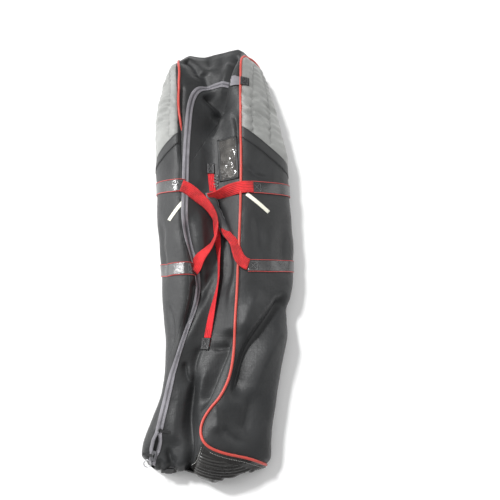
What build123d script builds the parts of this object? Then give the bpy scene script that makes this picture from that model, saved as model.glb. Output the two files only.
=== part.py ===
"""Soft golf travel case, empty and slumped on its back. Millimetres, +Z up, head end towards +Y."""
import math
import os

from build123d import *

# ---------------------------------------------------------------- driving dimensions
HEAD_END, FOOT_END = 676.0, -624.0  # the fabric is 1300 long
FABRIC = 2.5  # coated polyester with its lining
FOAM = 6.5  # fabric and padding of the two head pads
SEAM_HEIGHT = 30.0  # where the back panel is sewn to the sides
SEAM_GAP = 0.5  # half of a plain sewn joint
FOLD_GAP = 1.5  # half of the gap in the zip at the fold of the corner
PIPE_HALF, PIPE_SLOT = 2.8, 3.1  # piping's half width, and half of the slot it fills
PIPE_LOW, PIPE_HIGH = -2.4, 3.0  # piping's depth below and height above the fabric
WEB = 1.8  # webbing thickness
STRAP_LIFT = 0.4  # sewn straps above the fabric
LEFT_LIFT, RIGHT_LIFT = 4.6, 7.0  # the two carry handles above the fabric
WRAP_WALL = 2.6  # padded wrap round the right handle
TAPE_OUTER, TAPE_INNER = 15.0, 4.2  # zip tape's edges, from the zip's centre line
COIL_OUTER, COIL_INNER = 3.9, 1.3  # zip coil's edges, from the zip's centre line
SLIDER_LENGTH, SLIDER_WIDTH, SLIDER_PLATE = 26.0, 13.0, 2.2
SKID = 3.2  # moulded skid's wall
WHEEL_R, WHEEL_W, TYRE_INNER = 27.0, 22.0, 19.0
BEARING_R, BEARING_W = 11.0, 7.0
AXLE_R, AXLE_FIT = 4.0, 0.05  # axle, and the running clearance round it
HOUSING_WALL, WHEEL_CLEAR = 3.0, 3.0
WHEEL_Y, WHEEL_X = -600.0, (-132.0, 60.0)
PATCH_LIFT = 2.5  # stitched patches over the ends of the grab strap
PATH_LOW, PATH_HIGH = (-593.0, 79.9), (-417.0, 92.9)  # y and height of the sliders' straight path
PLATE_GAP, NECK = 3.0, 1.6  # half the space between a slider's plates, and its neck's width
PIN_R, PIN_HEIGHT, PIN_REACH = 1.1, 4.2, 5.0  # pin that carries a pull
SKID_RIBS, SKID_PITCH = 8, 11.0
SCREW_R, SCREW_Z = 2.0, (20.0, 42.0)
FLANGE_X = (-107.0, 35.0)  # screw lines through the base board
FAR, TOP = 420.0, 220.0  # beyond the case on every side, and above it
SIDE_LOW = SEAM_HEIGHT + SEAM_GAP

# One row per station along the case: y, left edge, left shoulder x and height, valley x and
# height, right shoulder x and height, right edge.
STATIONS = [
    (HEAD_END, -156, -134, 68, -40, 56, 52, 84, 106),
    (618, -172, -144, 112, -40, 88, 58, 126, 134),
    (512, -198, -136, 138, -40, 104, 60, 148, 158),
    (396, -205, -130, 146, -34, 110, 61, 152, 188),
    (228, -199, -118, 146, -28, 112, 63, 152, 207),
    (69, -187, -110, 140, -24, 106, 62, 148, 215),
    (-82, -171, -84, 132, -8, 100, 58, 142, 216),
    (-154, -165, -91, 127, -16, 100, 55, 138, 207),
    (-226, -159, -98, 120, -24, 100, 50, 134, 197),
    (-364, -152, -137, 94, -60, 96, 34, 128, 173),
    (-495, -184, -166, 84, -92, 90, -28, 130, 153),
    (-590, -208, -190, 75, -104, 83, -35, 118, 148),
    (-608, -204, -184, 72, -100, 80, -25, 104, 144),
    (FOOT_END, -192, -170, 63, -96, 69, -18, 84, 132),
]

# Seam lines in plan.
LEFT_SEAM = [(-138, 692), (-146, 606), (-138, 512), (-128, 343), (-118, 228), (-112, 60),
             (-84, -82), (-88, -170), (-112, -262), (-150, -345), (-230, -450)]
RIGHT_SEAM = [(50, 692), (59, 606), (60, 449), (63, 147), (57, -60), (50, -226), (33, -377),
              (-6, -442), (-37, -498), (-35, -538), (0, -564), (64, -582), (170, -610)]
ZIP_CURVE = [(56, 528), (-24, 526), (-74, 505), (-103, 452), (-108, 390), (-106, 300),
             (-104, 160), (-95, 36), (-64, -70), (-54, -150), (-74, -240)]
ZIP_STRAIGHT = [(-124, -365), (-172.9, -602)]
FOLD_LINE = [(-96, 240), (34, 508)]  # where the unzipped corner folds back
SLIDERS = (-514.0, -580.0)  # where the two zip sliders stand along the case

# Straps in plan: each row is x, y and half width.
LEFT_HANDLE = [(-110, 178, 20), (-84, 175, 19), (-56, 150, 17), (-30, 101, 13), (-12, 42, 8),
               (-18, 2, 9), (-36, -28, 13), (-56, -52, 16), (-84, -64, 17)]
RIGHT_HANDLE_TOP = [(92, 182, 18), (52, 180, 17), (14, 172, 14), (-16, 163, 12)]
RIGHT_HANDLE_GRIP = [(-19, 166, 9), (-6, 130, 9), (10, 86, 9), (27, 40, 9)]
RIGHT_HANDLE_LOW = [(26, 42, 9), (40, 12, 10), (52, -20, 12), (66, -48, 15), (92, -62, 17)]
WRAP = [(-13, 145, 13), (-4, 122, 13), (11, 84, 13), (24, 48, 13)]
GRAB_STRAP = [(-28, 250, 12), (-25, 180, 12), (-16, 83, 12), (-10, 21, 11), (-6, -40, 9),
              (-8, -100, 10), (-18, -159, 12), (-31, -225, 12), (-33, -278, 12)]


def hanging_points(row, grow):
    """Outline of one cross-section, grown outwards by grow, as (x, z) points."""
    y, left, lsx, lsz, vx, vz, rsx, rsz, right = row
    ring = [
        (left + 26, -5.0),
        (left + 3, 0.16 * lsz + 2),
        (left, 0.42 * lsz),
        (left + 0.36 * (lsx - left), 0.82 * lsz),
        (lsx, lsz),
        (0.5 * (lsx + vx), 0.42 * lsz + 0.58 * vz),
        (vx, vz),
        (0.5 * (rsx + vx), 0.42 * rsz + 0.58 * vz),
        (rsx, rsz),
        (rsx + 0.55 * (right - rsx), 0.84 * rsz),
        (right, 0.42 * rsz),
        (right - 3, 0.16 * rsz + 2),
        (right - 26, -5.0),
        (0.5 * (left + right), -7.0),
    ]
    grown = []
    for i, (x, z) in enumerate(ring):
        (xa, za), (xb, zb) = ring[i - 1], ring[(i + 1) % len(ring)]
        tx, tz = xb - xa, zb - za
        length = math.hypot(tx, tz)
        grown.append((x - grow * tz / length, z + grow * tx / length))
    return grown


def slumped_body(grow):
    """The whole case as one solid, grown outwards by grow."""
    sections = []
    for row in STATIONS:
        y = row[0] + (grow if row[0] == HEAD_END else -grow if row[0] == FOOT_END else 0)
        points = [Vector(x, y, z) for x, z in hanging_points(row, grow)]
        sections.append(Wire([Edge.make_spline(points, periodic=True)]))
    solid = Solid.make_loft(sections)
    floor = Box(3 * FAR, 6 * FAR, FAR, align=(Align.CENTER, Align.CENTER, Align.MIN))
    return solid & Pos(0, 0, max(0.0, -grow)) * floor


_bodies = {}


def body(grow):
    if grow not in _bodies:
        _bodies[grow] = slumped_body(grow)
    return _bodies[grow]


def layer(region, low, high):
    """The part of the case's wall between two depths that lies inside region."""
    return (body(high) & region) - body(low)


def plan(points, low=-20.0, high=TOP):
    """A closed plan outline made into an upright block."""
    wire = Wire.make_polygon([Vector(x, y, low) for x, y in points], close=True)
    return Solid.extrude(Face(wire), Vector(0, 0, high - low))


def slab(y_low, y_high, low=-20.0, high=TOP, left=-FAR, right=FAR):
    return plan([(left, y_low), (right, y_low), (right, y_high), (left, y_high)], low, high)


def spline_of(points):
    return Edge.make_spline([Vector(x, y, 0) for x, y in points])


def beside(edge, distance, start=0.0, stop=1.0, count=18):
    """Points a fixed distance to the left of edge, looking along it."""
    found = []
    for i in range(count + 1):
        u = start + (stop - start) * i / count
        p, t = edge.position_at(u), edge.tangent_at(u)
        found.append((p.X - t.Y * distance, p.Y + t.X * distance))
    return found


def strip_block(rows, trim=0.0):
    """A block along a strap whose rows give x, y and half width, narrowed by trim."""
    line = spline_of([row[:2] for row in rows])
    left, right = [], []
    for x, y, half in rows:
        t = line.tangent_at(line.param_at_point(Vector(x, y, 0)))
        left.append((x - t.Y * (half - trim), y + t.X * (half - trim)))
        right.append((x + t.Y * (half - trim), y - t.X * (half - trim)))
    return curved_block(left, right)


def curved_block(side_a, side_b, low=SIDE_LOW, high=TOP):
    """A block between two smooth plan curves."""
    a = [Vector(x, y, low) for x, y in side_a]
    b = [Vector(x, y, low) for x, y in side_b]
    edges = [
        Edge.make_spline(a),
        Edge.make_line(a[-1], b[-1]),
        Edge.make_spline(list(reversed(b))),
        Edge.make_line(b[0], a[0]),
    ]
    return Solid.extrude(Face(Wire(edges)), Vector(0, 0, high - low))


def block_outside(side, corners, low=SIDE_LOW, high=TOP):
    """A block with one smooth plan curve, closed round straight corners."""
    a = [Vector(x, y, low) for x, y in side]
    rest = [a[-1], *[Vector(x, y, low) for x, y in corners], a[0]]
    lines = [Edge.make_line(p, q) for p, q in zip(rest, rest[1:])]
    return Solid.extrude(Face(Wire([Edge.make_spline(a), *lines])), Vector(0, 0, high - low))


def height(x, y):
    """Height of the case's upper surface at a plan point."""
    column = Pos(x, y, 0) * Cylinder(0.4, 2 * TOP)
    return (column & body(0.0)).bounding_box().max.Z


def only_solids(shape):
    """The solids of a shape, without slivers."""
    solids = [s for s in shape.solids() if s.volume > 20]
    return solids[0] if len(solids) == 1 else Compound(solids)


# ---------------------------------------------------------------- regions in plan
left_seam, right_seam = spline_of(LEFT_SEAM), spline_of(RIGHT_SEAM)
zip_curve = spline_of(ZIP_CURVE)


def left_of_left_seam(gap):
    side = beside(left_seam, -gap, count=22)
    return block_outside(side, [(-FAR, -450), (-FAR, FAR * 2), (side[0][0], FAR * 2)])


def right_of_right_seam(gap):
    side = beside(right_seam, gap, count=26)
    return block_outside(side, [(FAR, RIGHT_SEAM[-1][1]), (FAR, FAR * 2), (side[0][0], FAR * 2)])


def between_seams():
    """Everything between the two piped seams, for the front."""
    whole = slab(-FAR * 2, FAR * 2, SIDE_LOW)
    left = beside(left_seam, PIPE_SLOT, count=22)
    right = beside(right_seam, -PIPE_SLOT, count=26)
    cut_left = block_outside(left, [(-FAR, -450), (-FAR, FAR * 2), (left[0][0], FAR * 2)])
    low_end = RIGHT_SEAM[-1][1]
    cut_right = block_outside(right, [(FAR, low_end), (FAR, FAR * 2), (right[0][0], FAR * 2)])
    return whole - cut_left - cut_right


def zip_band(near, far):
    """Plan block along the whole zip between two signed distances from its centre line.
    Positive is on the flap's side."""
    curve = curved_block(beside(zip_curve, near, count=30), beside(zip_curve, far, count=30))
    (xa, ya), (xb, yb) = ZIP_STRAIGHT
    a, b = Vector(xa, ya, 0), Vector(xb, yb, 0)
    along = (b - a).normalized()
    side = Vector(-along.Y, along.X, 0)
    end = zip_curve.position_at(1)
    tangent = zip_curve.tangent_at(1)
    end_side = Vector(-tangent.Y, tangent.X, 0)
    corners = [a + side * near, b + side * near, b + side * far, a + side * far]
    straight = plan([(p.X, p.Y) for p in corners], SIDE_LOW)
    join = [end + end_side * near, a + side * near, a + side * far, end + end_side * far]
    return curve + plan([(p.X, p.Y) for p in join], SIDE_LOW) + straight


def flap_region(margin):
    """Plan block of the unzipped corner. A positive margin shrinks it from the fold line."""
    (xa, ya), (xb, yb) = FOLD_LINE
    along = (Vector(xb, yb, 0) - Vector(xa, ya, 0)).normalized()
    side = Vector(-along.Y, along.X, 0)
    a = Vector(xa, ya, 0) + side * margin - along * 300
    b = Vector(xb, yb, 0) + side * margin + along * 300
    return plan([(p.X, p.Y) for p in (a, b, b + side * 700, a + side * 700)])


# ---------------------------------------------------------------- fabric
def wheel_pockets(margin):
    """The two foot corners that the wheel housings fill."""
    half = WHEEL_W / 2 + WHEEL_CLEAR + HOUSING_WALL + margin
    reach = WHEEL_R + WHEEL_CLEAR + HOUSING_WALL + margin
    blocks = [
        Pos(x, WHEEL_Y - 100 + reach, reach + WHEEL_R - 50)
        * Box(2 * half, 200, 100, align=(Align.CENTER, Align.MAX, Align.CENTER))
        for x in WHEEL_X
    ]
    return [Pos(0, 100, 0) * b for b in blocks]


def without_pockets(shape, margin=0.4):
    for block in wheel_pockets(margin):
        shape = shape - block
    return shape


def back_panel():
    return without_pockets(layer(slab(-900, 900, -20, SEAM_HEIGHT - SEAM_GAP), -FABRIC, 0.0))


def above(line, gap):
    """Block on the head side of a plan line from (xa, ya) to (xb, yb), with xa under xb."""
    (xa, ya), (xb, yb) = line
    slope = (yb - ya) / (xb - xa)
    low, high = ya + slope * (-FAR - xa) + gap, ya + slope * (FAR - xa) + gap
    return plan([(-FAR, low), (FAR, high), (FAR, 900), (-FAR, 900)])


LEFT_PAD_EDGE = [(-193, 305), (-118, 362)]
RIGHT_PAD_EDGE = [(63, 372), (202, 284)]
BAND = 37.0  # dark band below each pad, measured along the case


def side_pieces(side, edge):
    """Pad, dark band and plain panel of one side, from its plan region."""
    pad_block = above(edge, SEAM_GAP)
    rest = side - above(edge, -SEAM_GAP)
    band_block = rest & above(edge, SEAM_GAP - BAND)
    panel_block = side - above(edge, -SEAM_GAP - BAND)
    pad = layer(side & pad_block, -FOAM, 0.0)
    return pad, layer(band_block, -FABRIC, 0.0), layer(panel_block, -FABRIC, 0.0)


def skid_region(margin):
    """Plan region of the moulded skid at the foot, grown by margin."""
    left = [(-46 - margin, -522 + margin), (-74 - margin, -616), (-80 - margin, -900)]
    return plan([*left, (FAR, -900), (FAR, -522 + margin)])


def foot_slit():
    """Sewn joint from the end of the zip round the foot."""
    return plan([(-173.3, -601), (-172.3, -601), (-178.5, -900), (-179.5, -900)])


def front_pieces():
    """Front panel, outer strips and folding corner, cut along the zip and the fold line."""
    cloth = between_seams() - zip_band(-TAPE_OUTER - 0.3, TAPE_OUTER + 0.3) - foot_slit()
    skin = without_pockets(layer(cloth, -FABRIC, 0.0))
    pieces = sorted(skin.solids(), key=lambda solid: solid.center().Y)
    foot_strip, inner, head_strip = pieces[0], pieces[1], pieces[-1]
    flap = inner & flap_region(SEAM_GAP)
    panel = inner - flap_region(-SEAM_GAP)
    return panel, foot_strip, head_strip, flap


def piping(seam):
    line = curved_block(beside(seam, PIPE_HALF, count=26), beside(seam, -PIPE_HALF, count=26))
    return layer(line, PIPE_LOW, PIPE_HIGH)


# ---------------------------------------------------------------- zip
def zip_pieces(inner_edge, outer_edge, low, high):
    """Outer half, inner half and folding part of a strip along the zip."""
    outside = layer(zip_band(-outer_edge, -inner_edge) & between_seams(), low, high)
    inside = zip_band(inner_edge, outer_edge) & between_seams()
    fixed, folding = inside - flap_region(-FOLD_GAP), inside & flap_region(FOLD_GAP)
    return outside, layer(fixed, low, high), layer(folding, low, high)


# ---------------------------------------------------------------- straps
def webbing(rows, lift, thick=WEB):
    return layer(strip_block(rows), lift, lift + thick)


def girth_strap(x_seam, y_low, y_high, outward):
    """Sewn strap from beside the piping, over the edge and down to the back seam."""
    left, right = sorted((x_seam, outward * FAR))
    return layer(slab(y_low, y_high, SEAM_HEIGHT + 4, 220, left, right), STRAP_LIFT, STRAP_LIFT + WEB)


def right_handle():
    rows = (RIGHT_HANDLE_TOP, RIGHT_HANDLE_GRIP, RIGHT_HANDLE_LOW)
    region = strip_block(rows[0]) + strip_block(rows[1]) + strip_block(rows[2])
    return layer(region, RIGHT_LIFT, RIGHT_LIFT + WEB)


def handle_wrap():
    outer = layer(strip_block(WRAP), RIGHT_LIFT - WRAP_WALL, RIGHT_LIFT + WEB + WRAP_WALL)
    core = layer(strip_block(RIGHT_HANDLE_GRIP, -0.1), RIGHT_LIFT - 0.1, RIGHT_LIFT + WEB + 0.1)
    return outer - core


def grab_patches():
    upper = layer(slab(217, 264, SIDE_LOW, TOP, -43, -14), PATCH_LIFT, PATCH_LIFT + 1.4)
    lower = layer(slab(-293, -262, SIDE_LOW, TOP, -46, -20), PATCH_LIFT, PATCH_LIFT + 1.4)
    return upper, lower


def identity_pocket():
    """Bound edge and clear window of the identity pocket."""
    outside = slab(212, 364, SIDE_LOW, TOP, -9, 55)
    inside = slab(222, 354, SIDE_LOW, TOP, 1, 45)
    clear = slab(222.3, 353.7, SIDE_LOW, TOP, 1.3, 44.7)
    return layer(outside - inside, 0.4, 2.0), layer(clear, 0.5, 1.1)


def pale_bar(start, end, half):
    """Straight stitched bar between two plan points."""
    (xa, ya), (xb, yb) = start, end
    length = math.hypot(xb - xa, yb - ya)
    nx, ny = -half * (yb - ya) / length, half * (xb - xa) / length
    corners = [(xa + nx, ya + ny), (xb + nx, yb + ny), (xb - nx, yb - ny), (xa - nx, ya - ny)]
    return layer(plan(corners, SIDE_LOW), 0.3, 0.9)


def end_tab():
    """Stitched tab over the top end of the zip, and its snap button."""
    tab = layer(slab(522, 546, SIDE_LOW, TOP, 52, 84), 3.4, 5.0)
    snap = Pos(75, 534, 0) * Cylinder(5.5, 2 * TOP)
    return tab, layer(snap, 5.2, 7.4)


# ---------------------------------------------------------------- zip sliders
def slide_point(y):
    """Plan point of the zip's straight run at y, with the height of the sliders' path."""
    (xa, ya), (xb, yb) = ZIP_STRAIGHT
    x = xa + (xb - xa) * (y - ya) / (yb - ya)
    return Vector(x, y, PATH_LOW[1] + (PATH_HIGH[1] - PATH_LOW[1]) * (y - PATH_LOW[0])
                  / (PATH_HIGH[0] - PATH_LOW[0]))


def slider_frame(y):
    """Local frame of a slider: X along the zip to the head end, Z out of the case."""
    along = slide_point(y + 10) - slide_point(y)
    across = Vector(0, 0, 1).cross(along)
    return Location(Plane(origin=slide_point(y), x_dir=along, z_dir=along.cross(across)))


def slider_body():
    """Two plates joined by a neck between the coils, with a pin for the pull on top."""
    plate = Box(SLIDER_LENGTH, SLIDER_WIDTH, SLIDER_PLATE)
    plate = fillet(plate.edges().filter_by(Axis.Z), 5.0)
    level = PLATE_GAP + SLIDER_PLATE / 2
    neck = Box(6, NECK, 2 * level)
    lug = Box(4.5, 2.2, 6.4, align=(Align.CENTER, Align.CENTER, Align.MIN))
    lug = fillet(lug.edges().filter_by(Axis.Y).group_by(Axis.Z)[-1], 2.2)
    base = level + SLIDER_PLATE / 2 - 0.3
    lugs = [Pos(x, 0, base) * Rot(0, 0, 90) * lug for x in (-PIN_REACH, PIN_REACH)]
    pin = Pos(0, 0, base + PIN_HEIGHT) * Rot(0, 90, 0) * Cylinder(PIN_R, 2 * PIN_REACH)
    return Pos(0, 0, level) * plate + Pos(0, 0, -level) * plate + neck + lugs[0] + lugs[1] + pin


def pull_frame():
    """Centre of the pull's pin in the slider's frame."""
    return Pos(0, 0, PLATE_GAP + SLIDER_PLATE - 0.3 + PIN_HEIGHT)


def pull(length, side, droop):
    """Pull tab lying to one side of the zip: side is 1 for the left and -1 for the right."""
    eye = Rot(0, 90, 0) * Cylinder(3.0, 2 * PIN_REACH - 3.2)
    tab = Pos(0, length / 2, 0) * Box(7.0, length, 2.2)
    tab = fillet(tab.edges().filter_by(Axis.Z).group_by(Axis.Y)[-1], 3.0)
    bore = Rot(0, 90, 0) * Cylinder(PIN_R + 0.06, 40)
    shape = eye + tab - bore
    turn = Rot(-droop, 0, 0) if side > 0 else Rot(0, 0, 180) * Rot(-droop, 0, 0)
    return turn * shape


# ---------------------------------------------------------------- foot hardware
def skid():
    """Ribbed moulding over the foot, with a smooth wrap down to the floor side."""
    top = between_seams() & skid_region(0)
    wrap = slab(-900, FOOT_END + 34, 6, SIDE_LOW) & skid_region(0)
    shell = without_pockets(layer(top + wrap, 0.3, SKID))
    for i in range(SKID_RIBS):
        x = -70 + i * SKID_PITCH
        rib = plan([(x, FOOT_END + 4), (x + 5, FOOT_END + 4), (x + 30, -520), (x + 25, -520)], SIDE_LOW)
        shell = shell + layer(rib & top, 0.3, SKID + 1.6)
    return shell


def base_board():
    """Stiff board inside the foot wall, between the wheel housings."""
    board = body(-FABRIC - 0.4) & slab(FOOT_END + 3, FOOT_END + 6.6, 0, TOP)
    board = without_pockets(board, 0.6)
    for x in FLANGE_X:
        for z in SCREW_Z:
            board = board - Pos(x, FOOT_END + 5, z) * Rot(90, 0, 0) * Cylinder(SCREW_R + 0.05, 20)
    return max(board.solids(), key=lambda solid: solid.volume)


def housing(x, flange_side):
    """Moulded corner pocket for one wheel, open to the foot and to the floor."""
    half = WHEEL_W / 2 + WHEEL_CLEAR
    reach = WHEEL_R + WHEEL_CLEAR
    outer = pocket_block(x, half + HOUSING_WALL, reach + HOUSING_WALL, FOOT_END, 0, 27)
    inner = pocket_block(x, half, reach, FOOT_END - 60, -60, 24)
    boss_length = half - WHEEL_W / 2 - 0.1
    shape = outer - inner
    for side in (-1, 1):
        boss = Pos(x + side * (half - boss_length / 2), WHEEL_Y, WHEEL_R) * Rot(0, 90, 0)
        shape = shape + boss * Cylinder(6.5, boss_length)
    shape = shape - Pos(x, WHEEL_Y, WHEEL_R) * Rot(0, 90, 0) * Cylinder(AXLE_R + 0.1, 4 * half)
    fx = x + flange_side * (half + HOUSING_WALL + 7)
    flange = Pos(fx, FOOT_END + 8.5, 31) * Box(18, HOUSING_WALL, 38)
    hole = Cylinder(SCREW_R + 0.05, 20)
    for z in SCREW_Z:
        flange = flange - Pos(fx + flange_side, FOOT_END + 9, z) * Rot(90, 0, 0) * hole
    return shape + (flange - inner)


def pocket_block(x, half, reach, y_low, z_low, corner):
    """Block round a wheel with its upper inner corner rounded."""
    y_high, z_high = WHEEL_Y + reach, WHEEL_R + reach
    block = Pos(x, (y_low + y_high) / 2, (z_low + z_high) / 2) * Box(2 * half, y_high - y_low,
                                                                   z_high - z_low)
    edge = block.edges().filter_by(Axis.X).sort_by(lambda e: e.center().Y + e.center().Z)[-1]
    return fillet(edge, corner)


def ring(outer, inner, width):
    return Rot(0, 90, 0) * (Cylinder(outer, width) - Cylinder(inner, 2 * width))


def tyre():
    shape = ring(WHEEL_R, TYRE_INNER, WHEEL_W)
    rims = shape.edges().filter_by(GeomType.CIRCLE).sort_by(lambda e: -e.radius)[:2]
    return fillet(rims, 5.0)


def hub():
    """Wheel hub with a seat for a bearing at each side."""
    shape = ring(TYRE_INNER - 0.02, BEARING_R + 0.02, WHEEL_W - 0.4)
    return shape + ring(BEARING_R + 1, 6.0, WHEEL_W - 0.4 - 2 * BEARING_W - 0.1)


def bearings():
    offset = (WHEEL_W - 0.4 - BEARING_W) / 2
    race = ring(BEARING_R, AXLE_R + AXLE_FIT, BEARING_W)
    return Compound([Pos(-offset, 0, 0) * race, Pos(offset, 0, 0) * race])


def axle():
    reach = WHEEL_W / 2 + WHEEL_CLEAR + HOUSING_WALL
    head = Rot(0, 90, 0) * Cylinder(7.0, 3.0)
    shaft = Rot(0, 90, 0) * Cylinder(AXLE_R, 2 * reach + 2)
    return shaft + Pos(reach + 1.6, 0, 0) * head + Pos(-reach - 1.6, 0, 0) * head


def housing_screws():
    screws = []
    for x in FLANGE_X:
        for z in SCREW_Z:
            shank = Pos(x, FOOT_END + 7.8, z) * Rot(90, 0, 0) * Cylinder(SCREW_R, 9.0)
            head = Pos(x, FOOT_END + 11.3, z) * Rot(90, 0, 0) * Cylinder(4.0, 2.4)
            screws.append(shank + head)
    return Compound(screws)


def wheel_place(x):
    return Pos(x, WHEEL_Y, WHEEL_R)


# ---------------------------------------------------------------- the whole case
def build():
    left_pad, left_band, left_side = side_pieces(left_of_left_seam(PIPE_SLOT), LEFT_PAD_EDGE)
    right_pad, right_band, right_side = side_pieces(right_of_right_seam(PIPE_SLOT), RIGHT_PAD_EDGE)
    front, foot_strip, head_strip, corner = front_pieces()
    tape_outer, tape_inner, tape_corner = zip_pieces(TAPE_INNER, TAPE_OUTER, -1.7, -0.5)
    coil_outer, coil_inner, coil_corner = zip_pieces(COIL_INNER, COIL_OUTER, -2.8, 0.2)
    patch_upper, patch_lower = grab_patches()
    id_binding, id_window = identity_pocket()
    tab, snap = end_tab()
    upper, lower = (slider_frame(y) for y in SLIDERS)
    nodes = {
        "back_panel": back_panel(),
        "front_panel": front,
        "front_corner": corner,
        "head_strip": head_strip,
        "foot_strip": foot_strip,
        "left_side_panel": without_pockets(left_side),
        "right_side_panel": without_pockets(right_side),
        "left_pad": left_pad,
        "right_pad": right_pad,
        "left_seam_band": left_band,
        "right_seam_band": right_band,
        "left_piping": piping(left_seam),
        "right_piping": piping(right_seam),
        "zip_tape_outer": tape_outer,
        "zip_tape_inner": tape_inner,
        "zip_tape_corner": tape_corner,
        "zip_coil_outer": coil_outer,
        "zip_coil_inner": coil_inner,
        "zip_coil_corner": coil_corner,
        "upper_slider": upper * slider_body(),
        "lower_slider": lower * slider_body(),
        "upper_pull": upper * pull_frame() * pull(36, -1, 5),
        "lower_pull": lower * pull_frame() * pull(30, 1, 8),
        "zip_end_tab": tab,
        "tab_snap": snap,
        "left_handle": webbing(LEFT_HANDLE, LEFT_LIFT),
        "right_handle": right_handle(),
        "handle_wrap": handle_wrap(),
        "grab_strap": webbing(GRAB_STRAP, STRAP_LIFT),
        "grab_patch_upper": patch_upper,
        "grab_patch_lower": patch_lower,
        "left_strap_upper": girth_strap(-124, 161, 201, -1),
        "left_strap_lower": girth_strap(-92, -91, -52, -1),
        "right_strap_upper": girth_strap(95, 164, 202, 1),
        "right_strap_lower": girth_strap(89, -81, -43, 1),
        "id_binding": id_binding,
        "id_window": id_window,
        "left_bar": pale_bar((-125, 130), (-160, 88), 5),
        "right_bar": pale_bar((81, 151), (143, 109), 6),
        "foot_skid": skid(),
        "base_board": base_board(),
        "housing_screws": housing_screws(),
    }
    for side, x, inward in (("left", WHEEL_X[0], 1), ("right", WHEEL_X[1], -1)):
        nodes[f"{side}_wheel_housing"] = housing(x, inward)
        nodes[f"{side}_tyre"] = wheel_place(x) * tyre()
        nodes[f"{side}_hub"] = wheel_place(x) * hub()
        nodes[f"{side}_bearings"] = wheel_place(x) * bearings()
        nodes[f"{side}_axle"] = wheel_place(x) * axle()
    return nodes


if __name__ == "__main__":
    os.makedirs("parts", exist_ok=True)
    for node_name, node_shape in build().items():
        export_step(only_solids(node_shape), f"parts/{node_name}.step")
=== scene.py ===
"""Looks of the golf travel case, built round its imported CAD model. Metres, +Z up, head end towards +Y."""
import math

import bmesh
import bpy
import numpy as np
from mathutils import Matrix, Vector


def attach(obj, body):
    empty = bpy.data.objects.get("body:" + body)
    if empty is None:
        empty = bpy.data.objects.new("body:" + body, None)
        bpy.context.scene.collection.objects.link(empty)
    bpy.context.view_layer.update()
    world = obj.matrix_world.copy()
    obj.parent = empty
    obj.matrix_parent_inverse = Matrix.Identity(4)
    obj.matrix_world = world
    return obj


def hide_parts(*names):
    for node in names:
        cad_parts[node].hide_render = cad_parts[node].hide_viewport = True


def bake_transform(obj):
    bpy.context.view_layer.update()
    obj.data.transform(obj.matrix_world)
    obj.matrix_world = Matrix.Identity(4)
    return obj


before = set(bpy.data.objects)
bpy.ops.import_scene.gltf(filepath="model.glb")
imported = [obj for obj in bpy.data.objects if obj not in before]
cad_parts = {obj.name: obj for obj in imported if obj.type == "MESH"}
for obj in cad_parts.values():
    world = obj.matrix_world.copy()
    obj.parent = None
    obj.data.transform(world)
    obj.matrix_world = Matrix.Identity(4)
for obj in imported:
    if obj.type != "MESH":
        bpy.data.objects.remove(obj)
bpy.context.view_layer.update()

# ------------ the case's shape, in millimetres
MM = 0.001
HEAD, FOOT = 676.0, -624.0
SEAM_Z = 30.0

# y, left edge, left shoulder x and height, valley x and height, right shoulder x and height, right edge
STATIONS = np.array([
    (676, -156, -134, 68, -40, 56, 52, 84, 106),
    (618, -172, -144, 112, -40, 88, 58, 126, 134),
    (512, -198, -136, 138, -40, 104, 60, 148, 158),
    (396, -205, -130, 146, -34, 110, 61, 152, 188),
    (228, -199, -118, 146, -28, 112, 63, 152, 207),
    (69, -187, -110, 140, -24, 106, 62, 148, 215),
    (-82, -171, -84, 132, -8, 100, 58, 142, 216),
    (-154, -165, -91, 127, -16, 100, 55, 138, 207),
    (-226, -159, -98, 120, -24, 100, 50, 134, 197),
    (-364, -152, -137, 94, -60, 96, 34, 128, 173),
    (-495, -184, -166, 84, -92, 90, -28, 130, 153),
    (-590, -208, -190, 75, -104, 83, -35, 118, 148),
    (-608, -204, -184, 72, -100, 80, -25, 104, 144),
    (-624, -192, -170, 63, -96, 69, -18, 84, 132),
], float)[::-1]

# How far the two ends stand out of their flat shape: plan x and distance along the case.
HEAD_SHIFT = [(-150, -14), (-146, -12), (-110, 10), (-60, 10), (-30, 16), (17, 20), (51, 20), (70, 12),
              (110, -14), (150, -24)]
FOOT_SHIFT = [(-200, 30), (-186, 24), (-160, 8), (-127, 5), (-78, 1), (-10, -18), (47, -5), (90, 9),
              (139, 21), (155, 28)]
END_REACH = 120.0

LEFT_SEAM = [(-138, 692), (-146, 606), (-138, 512), (-128, 343), (-118, 228), (-112, 60),
             (-84, -82), (-88, -170), (-112, -262), (-150, -345), (-230, -450)]
LEFT_PIPE = [(-142, 662), (-140, 623), (-134, 582), (-133, 531), (-132, 453), (-124, 390), (-115, 352)]
ZIP = [(56, 532), (30, 540), (-24, 543), (-68, 529), (-92, 482), (-99, 400), (-102, 300), (-102, 160),
       (-95, 36), (-66, -70), (-62, -150), (-86, -240)]
ZIP_STRAIGHT = [(-124, -365), (-172.9, -602)]
FOLD_LINE = [(-96, 240), (34, 508)]


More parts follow.
